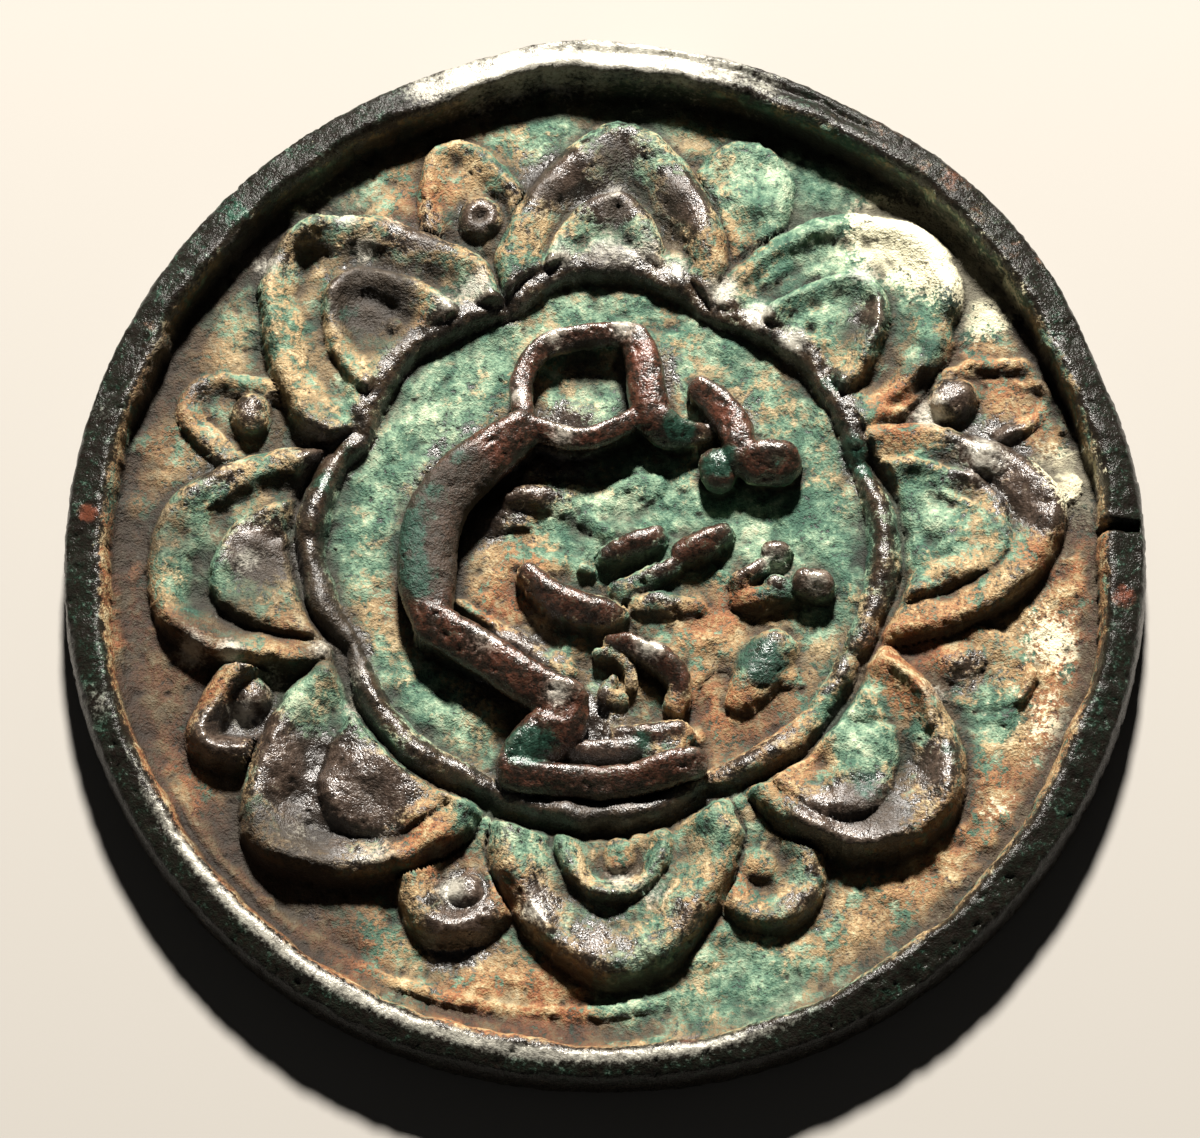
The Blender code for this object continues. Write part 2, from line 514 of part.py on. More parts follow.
def limb_rings(rows):
    """Rings of points along a limb: a squarish section whose upper edge stands higher, and rounded ends."""
    route = smooth_route(rows, 6) * np.array([SHARE, SHARE, FIGURE_RISE, FIGURE_RISE])
    route[:, 2] += PLATE_THICKNESS
    runs = np.gradient(route[:, :3], axis=0)
    runs /= np.linalg.norm(runs, axis=1)[:, None]
    stations = [(point[:3], point[3], run) for point, run in zip(route, runs)]
    for share in (0.45, 0.8, 0.97):
        swell = (1 - share ** 2) ** 0.5
        first, last = route[0], route[-1]
        stations.insert(0, (first[:3] - runs[0] * first[3] * share, first[3] * swell, runs[0]))
        stations.append((last[:3] + runs[-1] * last[3] * share, last[3] * swell, runs[-1]))
    turn = np.linspace(0, 2 * np.pi, LIMB_SIDES, endpoint=False)
    across = np.sign(np.cos(turn)) * np.abs(np.cos(turn)) ** LIMB_SQUARENESS
    up = np.sign(np.sin(turn)) * np.abs(np.sin(turn)) ** LIMB_SQUARENESS
    rings = []
    for middle, radius, run in stations:
        side = np.cross((0, 0, 1), run)
        side /= np.linalg.norm(side)
        over = np.cross(run, side)
        wedge = np.where(up > 0, up * (1 + LIMB_SLANT * side[1] * across), up)
        ring = middle + radius * (across[:, None] * side + wedge[:, None] * over)
        rings.append(ring)
    return rings


def make_limb(rows):
    rings = limb_rings(rows)
    form = bmesh.new()
    loops = [[form.verts.new(point) for point in ring] for ring in rings]
    for here, there in zip(loops[:-1], loops[1:]):
        for side in range(LIMB_SIDES):
            after = (side + 1) % LIMB_SIDES
            form.faces.new((here[side], here[after], there[after], there[side]))
    form.faces.new(loops[0])
    form.faces.new(loops[-1])
    bmesh.ops.recalc_face_normals(form, faces=form.faces)
    mesh = bpy.data.meshes.new("limb")
    form.to_mesh(mesh)
    form.free()
    limb = bpy.data.objects.new("limb", mesh)
    bpy.context.scene.collection.objects.link(limb)
    return limb


def join(objects):
    bpy.ops.object.select_all(action="DESELECT")
    for obj in objects:
        obj.select_set(True)
    bpy.context.view_layer.objects.active = objects[0]
    bpy.ops.object.join()
    return bpy.context.object


def bake(obj):
    """Replace an object's mesh by what its modifiers make of it."""
    graph = bpy.context.evaluated_depsgraph_get()
    mesh = bpy.data.meshes.new_from_object(obj.evaluated_get(graph))
    obj.modifiers.clear()
    obj.data = mesh


def make_figure():
    """The free-standing limbs, grown together as the casting has them."""
    figure = join([make_limb(rows) for rows in FREE_LIMBS])
    remesh = figure.modifiers.new("grow together", "REMESH")
    remesh.mode = "VOXEL"
    remesh.voxel_size = FIGURE_VOXEL
    bake(figure)
    return figure


def cast_together(plate, figure):
    union = plate.modifiers.new("cast in one", "BOOLEAN")
    union.operation = "UNION"
    union.solver = "EXACT"
    union.object = figure
    bake(plate)
    bpy.data.objects.remove(figure, do_unlink=True)


def thin_out(obj, faces):
    """Fewer triangles where the surface is plain."""
    triangles = sum(len(polygon.vertices) - 2 for polygon in obj.data.polygons)
    decimate = obj.modifiers.new("thin out", "DECIMATE")
    decimate.ratio = faces / triangles
    decimate.use_collapse_triangulate = True
    bake(obj)


def settle_underside(mesh):
    """Keep the reflecting face exactly flat at height zero."""
    for corner in mesh.vertices:
        if corner.co.z < FLOOR_SNAP:
            corner.co.z = 0.0


def build():
    clear_scene()
    parts = new_collection("bronze mirror")
    plate = make_plate()
    thin_out(plate, PLATE_FACES)
    settle_underside(plate.data)
    figure = make_figure()
    thin_out(figure, FIGURE_FACES)
    cast_together(plate, figure)
    plate.name = "mirror"
    plate.data.name = "mirror"
    plate.data.materials.clear()
    plate.data.materials.append(bronze())
    plate.data.shade_smooth()
    plate.data.set_sharp_from_angle(angle=np.radians(SHARP_ANGLE))
    for collection in list(plate.users_collection):
        collection.objects.unlink(plate)
    parts.objects.link(plate)


build()
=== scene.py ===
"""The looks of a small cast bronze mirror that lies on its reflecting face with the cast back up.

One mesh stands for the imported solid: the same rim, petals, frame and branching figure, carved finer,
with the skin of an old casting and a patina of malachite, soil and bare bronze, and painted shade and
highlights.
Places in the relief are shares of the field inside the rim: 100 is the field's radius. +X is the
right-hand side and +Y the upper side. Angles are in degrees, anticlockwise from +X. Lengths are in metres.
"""

import bmesh
import bpy
import numpy as np
from mathutils import Matrix, Vector


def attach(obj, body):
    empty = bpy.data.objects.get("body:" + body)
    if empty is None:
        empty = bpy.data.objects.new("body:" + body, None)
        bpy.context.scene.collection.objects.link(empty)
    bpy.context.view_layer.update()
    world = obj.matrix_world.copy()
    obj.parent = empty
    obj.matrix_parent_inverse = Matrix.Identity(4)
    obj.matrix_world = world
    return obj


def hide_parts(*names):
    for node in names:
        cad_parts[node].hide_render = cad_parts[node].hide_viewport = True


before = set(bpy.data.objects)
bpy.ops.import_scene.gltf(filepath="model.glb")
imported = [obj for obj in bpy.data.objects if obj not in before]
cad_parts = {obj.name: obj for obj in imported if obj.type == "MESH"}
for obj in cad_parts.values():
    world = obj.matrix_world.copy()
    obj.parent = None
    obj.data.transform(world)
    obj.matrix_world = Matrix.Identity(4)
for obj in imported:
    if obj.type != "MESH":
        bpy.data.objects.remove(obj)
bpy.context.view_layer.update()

# Driving sizes: the solid's, but for the petals, which stand a little higher and steeper here
DISC_RADIUS = 0.0329
RIM_WIDTH = 0.0024
RIM_HEIGHT = 0.0047
PLATE_THICKNESS = 0.0020
RIM_FILLET = 0.0034
WALL_WIDTH = 0.0009
BEVEL_FALL = 0.0007
UNDERCUT = 0.0005
OUTER_BULGE = 0.0016
FILLET = 0.00018
PETAL_RISE = 0.0022
LEAF_RISE = 0.0012
SLOPE_OUT = 0.0010
SLOPE_IN = 0.0021
LIP_WEAR = 0.17
FRAME_WEAR = 0.22
FRAME_RIDGE_WIDTH = 0.0020
FRAME_RIDGE_HEIGHT = 0.0016
# Width and height left at the ends of a lobe's arc, as shares of those at its middle
ARC_END_WIDTH = 0.55
ARC_END_HEIGHT = 0.45
# Powers that shape how a lobe bows outwards, how it swells towards its middle, and its section
LOBE_BOW = 0.8
ARC_SWELL = 0.5
ARC_ROUNDING = 0.6
STRING_RIDGE_WIDTH = 0.0011
STRING_RIDGE_HEIGHT = 0.0004
BOSS_HEIGHT = 0.0016
FIGURE_RISE = 0.0032
LEAF_SLANT = 0.45
CRACK_WIDTH = 0.0005
CRACK_DEPTH = 0.0016
CRACK_ANGLE = 2.8

# How far the crest stands outside the field, and the rounded shoulder inside the disc's edge
CREST_OFFSET = 0.00055
SHOULDER = 0.00045

FIELD_RADIUS = DISC_RADIUS - RIM_WIDTH
SHARE = FIELD_RADIUS / 100
CREST_RADIUS = FIELD_RADIUS + CREST_OFFSET
RIM_RISE = RIM_HEIGHT - PLATE_THICKNESS
TOP_RADIUS = DISC_RADIUS - SHOULDER

# Fineness of the mesh
GRID_SIDE = 460
FIGURE_VOXEL = 0.00013
FACE_TARGET = 190000
CURVE_STEPS = 40
ROUTE_STEPS = 5
STRING_STEPS = 4
LIMB_STEPS = 6
LIMB_SIDES = 24
FRAME_POINTS = 181
# Steps down the disc's outer side, as shares of the way above and below its widest place
UPPER_STEPS = (0.96, 0.85, 0.6, 0.3)
LOWER_STEPS = (0.0, 0.35, 0.6, 0.8, 0.93, 1.0)
# Steps of a limb's rounded ends, as shares of its radius
END_STEPS = (0.45, 0.8, 0.97)
# What lies lower than this on the finished mesh is made flat, and the floor lies a little below it
FLOOR_SNAP = 0.00004
FLOOR_GAP = 0.00003
FLOOR_SIZE = 3.0

# How the hand-cut lines wander, and the lumps of the ground: width, distance or height
WANDER = ((0.0060, 0.00022), (0.0022, 0.00016), (0.0009, 0.00006))
GROUND_LUMPS = ((0.0045, 0.00030), (0.0019, 0.00026), (0.0008, 0.00013))
# Wear of the rim: width of the lumps, distance or share of the height, seed
CREST_WANDER = ((0.0055, 0.00005, 11), (0.0021, 0.00003, 12))
RIM_DENTS = ((0.0040, 0.035, 13), (0.0013, 0.020, 15))
# Seeds of the other lumps
STREAK_SEED, GROUND_SEED, WANDER_SEED_X, WANDER_SEED_Y = 14, 20, 30, 40
LIP_SEED, RIDGE_SEED, FINE_RIDGE_SEED = 51, 52, 53
# Width of the lumps worn into the lips, the ridges and, finer, the frame
LIP_LUMP = 0.0021
RIDGE_LUMP = 0.0030
FINE_RIDGE_LUMP = 0.0012

# Powers that round the sections: of the distance, and where there are two, then of the height
LIP_OUTSIDE = (1.7, 0.7)
LIP_INSIDE = (1.5, 1.3)
BEAD_ROUNDING = (2.4, 0.5)
BEVEL_ROUNDING = 1.2
BOSS_ROUNDING = 2.4
# The fillet in the rim's corner, as a share of the rim's rise
CORNER_SHARE = 0.55
# How far a cut or a fold reaches to each side, as a share of its width
CARVING_REACH = 0.75
# The fillets of leaves and of the rim, as multiples of the common one
LEAF_FILLET = 1.5 * FILLET
RIM_FOOT_FILLET = 2 * FILLET
# How much of the ground's lumps is lost on the highest relief
SMOOTH_TOPS = 0.6
# Height of a large petal over which a low one behind it disappears
COVERS_BACK = 0.0005
# Share of the top's radius from which the edge's faults draw the surface along
WEAR_START = 0.9

# Where the edge is worn or bulges: middle angle, spread, distance outwards
EDGE_FAULTS = (
    (94.0, 8.0, 0.0005),
    (22.0, 9.0, -0.0004),
    (62.0, 9.0, -0.0003),
    (267.0, 22.0, -0.0003),
)
# The second lip outside the crest on the upper right: angles, distance from the crest, width, depth
SECOND_LIP = (54.0, 100.0, 0.00085, 0.00030, 0.00040)
# The ground dips along the upper rim: angles, innermost radius in shares, depth
TROUGH = (8.0, 165.0, 86.0, 0.0006)
# How the dip fades: in angle, and in shares from its innermost radius
TROUGH_FADE = (30, 10)
# Width of the painted highlight line along the crest of the lower rim
CREST_HIGHLIGHT_WIDTH = 0.0004
# The arc where the inner wall runs gently down, the wall's share elsewhere, and the fade
GENTLE_WALL = (150.0, 330.0, 0.30, 50)
# Streaks along the inner wall of the rim: angles, innermost radius in shares, length, width, depth
WALL_STREAKS = (165.0, 300.0, 84.0, 0.0070, 0.0006, 0.00022)
# How the streaks fade: in angle, in shares from the field, and in metres to the crest
STREAK_FADE = (20, 5, 0.0008)

# The large petals:
# tip angle, spread to the left, spread to the right, tip radius, foot radius, fullness,
# lip and plate as shares of the rise, outer and inner slope as shares of their widths
PETALS = {
    "right": (6.2, 19.4, 20.7, 90.2, 59.5, 1.8, 0.80, 0.28, 0.9, 1.35),
    "upper right": (44.5, 20.5, 15.4, 92.0, 63.5, 2.2, 0.72, 0.40, 1.2, 0.75),
    "top": (87.0, 20.0, 18.0, 90.5, 65.5, 1.4, 0.85, 0.35, 1.0, 1.35),
    "upper left": (134.2, 19.6, 22.4, 92.0, 65.5, 1.5, 0.90, 0.42, 0.9, 0.85),
    "left": (181.0, 17.5, 21.5, 88.5, 59.5, 2.7, 0.85, 0.30, 1.0, 0.95),
    "lower left": (221.2, 20.5, 19.0, 88.0, 60.0, 1.65, 1.00, 0.38, 1.15, 1.05),
    "bottom": (272.0, 20.5, 20.5, 83.0, 61.5, 1.55, 1.00, 0.42, 1.35, 1.1),
    "lower right": (321.4, 18.3, 18.5, 83.5, 59.5, 2.0, 1.00, 0.50, 1.1, 1.4),
}
# The smaller leaf that lies on each large petal
LEAVES = {
    "right": (5.4, 13.0, 12.4, 79.5, 59.0, 2.3, 0.75, 0.35, 0.7, 0.7),
    "upper right": (46.6, 8.9, 9.7, 78.0, 62.5, 1.8, 1.05, 0.45, 0.6, 0.6),
    "top": (88.3, 10.6, 8.9, 76.0, 62.5, 2.1, 0.95, 0.15, 0.6, 0.8),
    "upper left": (132.6, 10.5, 11.9, 78.5, 60.5, 2.1, 0.95, 0.05, 0.6, 0.9),
    "left": (182.9, 10.5, 15.5, 76.5, 57.5, 2.25, 1.00, 0.50, 0.6, 0.9),
    "lower left": (224.4, 12.0, 11.0, 73.5, 57.5, 1.95, 0.80, 0.92, 0.8, 0.8),
    "bottom": (271.7, 9.8, 10.2, 68.5, 59.0, 2.0, 0.85, -0.25, 0.6, 0.55),
    "lower right": (316.5, 14.5, 9.0, 71.5, 55.5, 2.25, 0.75, 1.05, 0.9, 1.0),
}
# The low petals behind, which show between the large ones
BACK_PETALS = {
    "right upper": (23.0, 8.0, 7.0, 94.8, 72.0, 3.0, 0.35, 0.10, 0.6, 0.4),
    "top right": (69.8, 8.0, 7.0, 92.0, 72.0, 2.4, 0.45, 0.30, 0.8, 0.5),
    "top left": (109.8, 8.5, 8.5, 93.5, 72.0, 1.9, 0.55, 0.20, 0.7, 0.6),
    "left upper": (157.5, 8.0, 7.5, 91.0, 69.0, 2.2, 0.35, 0.08, 0.6, 0.5),
    "left lower": (204.5, 8.0, 9.0, 87.0, 69.0, 1.6, 1.00, 0.12, 1.3, 0.65),
    "bottom left": (246.0, 9.0, 9.5, 80.5, 64.0, 2.2, 0.80, 0.36, 1.4, 0.8),
    "bottom right": (297.0, 9.0, 9.5, 80.0, 65.5, 2.6, 0.68, 0.30, 1.0, 0.7),
    "right lower": (343.0, 7.5, 6.5, 87.5, 69.0, 2.2, 0.25, 0.15, 0.6, 0.4),
}
# The radius in shares from which the petals rise, under the frame, and how long they take
PETAL_STOP = 47.0
PETAL_START = 4
# The bosses: angle, radius, half-width, share of the boss's height
BOSSES = (
    (25.9, 77.7, 5.1, 0.97),
    (69.2, 80.7, 5.2, 0.45),
    (109.1, 76.1, 4.8, 0.90),
    (156.4, 77.4, 4.4, 1.10),
    (200.7, 74.8, 4.3, 1.00),
    (248.0, 72.1, 4.6, 1.00),
    (296.2, 69.8, 4.4, 0.78),
    (343.0, 73.8, 5.6, 0.35),
    (88.1, 87.2, 3.3, 1.05),
    (131.2, 64.9, 2.0, 0.85),
    (272.7, 60.3, 3.8, 0.72),
)
# The frame: cusp angle, cusp radius, radius at the middle of the lobe that follows
FRAME_LOBES = (
    (-22.0, 52.1, 56.0),
    (21.3, 54.1, 58.0),
    (67.4, 56.1, 62.0),
    (110.0, 56.1, 58.7),
    (152.0, 54.8, 59.0),
    (197.5, 52.1, 53.4),
    (245.0, 50.8, 52.1),
    (293.5, 49.8, 52.1),
)
# Where the frame's ridge runs gently into the petals outside it: angles, how much longer its slope is
FRAME_OUTER_SLOPE = (15.0, 165.0, 1.6)
FRAME_SLOPE_FADE = 20
# The groove between the frame and the petals elsewhere, in shares, and where the petals begin over it
FRAME_GROOVE = 4.2
GROOVE_START = 1.0
GROOVE_FADE = 3
# The thin raised line along the lower rim: angle, radius
STRING_RIDGE = ((226.0, 96.5), (240.0, 95.0), (253.0, 93.8), (265.0, 91.5), (277.0, 90.2))

# Cuts and folds of the carving: route in shares, width and height in millimetres
CARVING = {
    "petal tip grown into the rim": (((-58.9, 69.6), (-64.4, 74.5), (-69.9, 78.8)), 2.60, 0.75),
    "top petal, left flank": (((-16.9, 69.3), (-11.9, 76.9), (-4.8, 83.2)), 2.20, 0.35),
    "top petal, right flank": (((12.2, 80.3), (17.4, 71.7), (21.0, 64.3)), 2.20, 0.30),
    "upper right petal, long groove":
        (((29.8, 57.1), (35.5, 62.3), (42.5, 65.6), (47.6, 65.6)), 1.10, -0.36),
    "upper right petal, short groove": (((32.4, 55.4), (39.5, 60.8), (46.7, 62.8)), 0.90, -0.16),
    "upper right leaf, right flank": (((53.5, 55.2), (54.8, 48.2), (53.0, 40.9)), 1.20, 0.45),
    "cut beside the knob": (((64.3, 38.3), (60.9, 33.8), (57.9, 32.1)), 0.80, -0.55),
    "thin arc by the right rim": (((82.9, 36.9), (88.3, 36.1), (91.2, 31.2), (91.7, 26.9)), 0.80, 0.35),
    "right leaf, short ridge": (((67.8, 13.5), (70.6, 12.0), (73.4, 10.6)), 0.70, 0.35),
    "worn arc, lower right": (((75.4, -32.6), (80.3, -31.2), (83.5, -27.5), (84.4, -23.1)), 1.00, 0.30),
    "lower right petal, upper lip":
        (((58.1, -21.9), (61.6, -25.8), (63.9, -30.9), (64.5, -34.6)), 1.00, 0.60),
    "lower right leaf, cut": (((47.7, -33.9), (51.6, -34.3), (55.4, -33.9)), 0.70, -0.35),
    "lower right petal, left end": (((34.8, -47.6), (38.7, -52.7), (43.0, -55.6)), 1.20, 0.30),
    "left petal, second arch": (((-65.7, 18.8), (-73.7, 15.7), (-79.6, 9.6), (-82.5, 2.7)), 0.80, 0.22),
    "ledge under the bar": (((-22.7, 8.7), (-16.7, 11.0), (-8.7, 12.2)), 2.40, 0.45),
    "ledge, right end": (((-3.7, 11.1), (3.3, 13.8), (9.2, 15.8)), 2.00, 0.35),
    "fold above the limb": (((-31.4, -7.7), (-26.6, -10.0), (-22.2, -12.5)), 0.80, 0.70),
    "shelf behind the limb": (((-21.0, -15.0), (-14.6, -19.1), (-7.7, -22.5)), 1.60, 0.60),
    "upper left leaf, dent": (((-52.0, 54.3), (-51.0, 48.0), (-48.5, 43.4)), 0.80, -0.20),
}
# Lumps and hollows: x, y, radius in shares, height or depth in millimetres
LUMPS = (
    (-6.0, 6.0, 12.0, 0.30), (12.0, -4.0, 12.0, 0.35), (22.0, -14.0, 9.0, 0.35), (10.0, -28.0, 9.0, 0.45),
    (36.0, -4.0, 8.0, 0.35), (4.0, -42.0, 7.0, 0.50), (-10.0, -8.0, 9.0, 0.30),
    (-66.0, 78.1, 2.4, 0.45), (-61.9, 74.7, 2.4, 0.45), (-58.5, 70.4, 2.0, 0.35), (-33.0, 71.5, 2.4, 0.25),
    (-29.4, 77.4, 2.0, 0.20), (26.5, 77.0, 3.0, 0.30), (32.7, 74.2, 2.8, 0.25), (41.8, 47.3, 3.2, 0.55),
    (65.6, 59.3, 2.2, 0.30), (67.3, 32.0, 2.6, 0.50), (72.9, 35.3, 2.2, 0.35), (92.1, 15.2, 4.8, 0.35),
    (66.0, 7.5, 1.8, 0.35), (70.3, 2.3, 2.0, 0.35), (62.9, 0.1, 1.8, 0.30), (67.8, -3.2, 2.0, 0.30),
    (70.2, -22.1, 2.8, 0.35), (75.5, -20.3, 1.8, 0.20), (80.3, -33.6, 2.0, 0.25), (53.2, -39.6, 3.8, 0.35),
    (52.7, -29.4, 2.4, 0.50), (46.3, -37.9, 2.4, 0.20),
    (-69.5, 3.3, 2.0, 0.30), (-61.3, -0.3, 2.4, 0.25), (-63.4, -6.1, 1.8, 0.20), (31.0, -19.0, 4.4, 0.50),
    (34.9, -23.6, 3.0, 0.40), (28.0, -27.2, 2.4, 0.30), (20.1, -16.9, 2.0, 0.25), (17.1, -36.3, 2.8, 0.35),
)
HOLLOWS = (
    (-71.0, 65.0, 4.6, 0.75), (-25.0, 71.9, 1.4, 0.75), (41.8, 47.1, 1.4, 0.55), (71.5, 48.8, 2.4, 0.55),
    (41.9, -42.2, 2.6, 0.45), (-70.2, -33.9, 2.6, 0.45), (64.9, 3.2, 1.6, 0.30), (-5.7, 7.0, 2.4, 0.40),
)
# The figure: x, y, height of the middle line over the ground and radius as shares of its rise
NECK = ((-16.2, 25.6, 0.66, 0.39), (-20.6, 22.4, 0.62, 0.45), (-25.8, 18.4, 0.59, 0.50),
        (-30.6, 13.5, 0.56, 0.52), (-33.8, 7.8, 0.53, 0.55), (-35.0, 1.3, 0.50, 0.56),
        (-35.1, -5.2, 0.48, 0.55), (-34.5, -10.7, 0.50, 0.45))
LOOP = ((-15.5, 27.3, 0.64, 0.22), (-16.5, 32.1, 0.54, 0.22), (-16.3, 37.1, 0.48, 0.22),
        (-14.4, 41.5, 0.45, 0.22), (-10.7, 44.4, 0.43, 0.23), (-5.4, 45.8, 0.43, 0.23),
        (0.3, 46.3, 0.47, 0.23), (5.3, 45.6, 0.56, 0.25))
BAR = ((-15.8, 26.3, 0.69, 0.24), (-11.4, 25.1, 0.75, 0.22), (-6.2, 23.5, 0.77, 0.21),
       (-1.1, 24.4, 0.73, 0.21), (3.7, 26.7, 0.67, 0.21), (6.5, 28.5, 0.59, 0.19))
FALL = ((6.1, 45.2, 0.62, 0.28), (7.5, 41.8, 0.62, 0.34), (8.3, 37.3, 0.59, 0.37),
        (8.9, 32.4, 0.56, 0.38), (10.3, 28.4, 0.50, 0.37), (13.3, 26.1, 0.42, 0.33),
        (17.2, 25.7, 0.36, 0.25), (20.6, 26.0, 0.30, 0.17))
LIMB = ((-34.0, -13.8, 0.58, 0.39), (-28.0, -17.5, 0.66, 0.39), (-22.2, -21.3, 0.69, 0.40),
        (-16.3, -25.4, 0.69, 0.41), (-11.3, -28.2, 0.66, 0.41), (-7.2, -29.8, 0.62, 0.41))
BEND = ((-7.2, -29.9, 0.58, 0.42), (-8.2, -33.6, 0.45, 0.50), (-11.4, -36.7, 0.37, 0.52),
        (-15.4, -39.5, 0.39, 0.44), (-18.1, -42.3, 0.44, 0.33))
BASE = ((-18.1, -44.3, 0.44, 0.31), (-12.6, -45.3, 0.47, 0.31), (-5.6, -45.9, 0.48, 0.31),
        (0.3, -46.4, 0.48, 0.31), (7.2, -45.5, 0.50, 0.32), (13.1, -43.5, 0.52, 0.33),
        (17.5, -42.5, 0.52, 0.31))
ROD = ((19.3, 34.9, 0.47, 0.24), (22.5, 31.9, 0.50, 0.30), (25.5, 27.8, 0.53, 0.33),
       (26.8, 24.0, 0.55, 0.33), (27.4, 20.7, 0.53, 0.30))
KNOBS = (((22.4, 19.2, 0.36, 0.34), (23.0, 17.2, 0.31, 0.34)),
         ((30.6, 19.2, 0.45, 0.41), (35.2, 19.2, 0.45, 0.42)))
FREE_LIMBS = (NECK, LOOP, BAR, FALL, LIMB, BEND, BASE, ROD) + KNOBS
# What stands on a web that runs down to the ground, and how much narrower the web is
WEBBED = (NECK, LOOP[:3], BAR, FALL, LIMB, BEND, BASE, ROD) + KNOBS
WEB_SHARE = 0.80

# The low leaves, buds and fruits beside the figure, in the same shares
FOLIAGE = (
    ((1.6, -17.7, 0.37, 0.16), (4.8, -18.2, 0.47, 0.20), (9.2, -20.2, 0.50, 0.25),
     (13.5, -23.0, 0.47, 0.26), (15.3, -26.6, 0.37, 0.25), (14.3, -30.5, 0.28, 0.22)),
    ((-1.2, -19.8, 0.31, 0.14), (2.0, -19.7, 0.34, 0.15), (4.8, -22.3, 0.31, 0.14),
     (5.6, -25.8, 0.25, 0.12)),
    ((4.0, -28.5, 0.17, 0.16), (1.0, -27.3, 0.20, 0.16), (1.4, -24.9, 0.22, 0.13)),
    ((-14.7, -3.7, 0.34, 0.25), (-11.1, -7.6, 0.37, 0.34), (-6.3, -10.4, 0.34, 0.36),
     (-0.8, -11.6, 0.27, 0.34), (2.8, -11.6, 0.17, 0.25)),
    ((0.8, 1.7, 0.30, 0.23), (5.6, 3.1, 0.36, 0.28), (10.4, 4.7, 0.31, 0.22)),
    ((-4.0, -1.2, 0.23, 0.13), (-2.6, -1.7, 0.19, 0.12)),
    ((15.6, 0.7, 0.30, 0.27), (19.8, 2.7, 0.33, 0.33), (23.6, 5.3, 0.28, 0.23)),
    ((2.8, -6.3, 0.19, 0.25), (8.2, -3.9, 0.22, 0.26), (13.6, -1.5, 0.23, 0.22)),
    ((7.2, -8.7, 0.14, 0.25), (12.7, -9.2, 0.17, 0.27), (19.1, -9.7, 0.12, 0.19)),
    ((34.3, 0.8, 0.30, 0.25), (35.3, 0.6, 0.30, 0.25)),
    ((27.9, -4.6, 0.27, 0.25), (31.5, -2.5, 0.30, 0.19)),
    ((27.5, -7.4, 0.14, 0.25), (32.2, -8.1, 0.16, 0.26), (37.0, -7.5, 0.16, 0.22)),
    ((34.6, -6.0, 0.30, 0.21), (35.8, -6.2, 0.28, 0.19)),
    ((40.8, -5.5, 0.33, 0.29), (43.2, -5.9, 0.33, 0.31)),
    ((33.0, -18.9, 0.00, 0.48), (30.4, -23.6, 0.00, 0.45), (27.5, -28.6, 0.00, 0.30)),
    ((4.4, -36.0, 0.17, 0.25), (9.1, -36.6, 0.23, 0.31), (14.3, -36.5, 0.23, 0.31)),
    ((-5.1, -38.9, 0.30, 0.23), (0.4, -39.4, 0.30, 0.25), (6.4, -38.5, 0.27, 0.23)),
    ((10.1, -39.6, 0.19, 0.27), (14.3, -39.2, 0.19, 0.27)),
    ((-18.0, 12.2, 0.08, 0.25), (-12.8, 12.1, 0.11, 0.30), (-8.4, 11.0, 0.09, 0.23)),
    ((-4.2, 8.5, 0.09, 0.19), (-0.0, 5.9, 0.11, 0.17)),
)
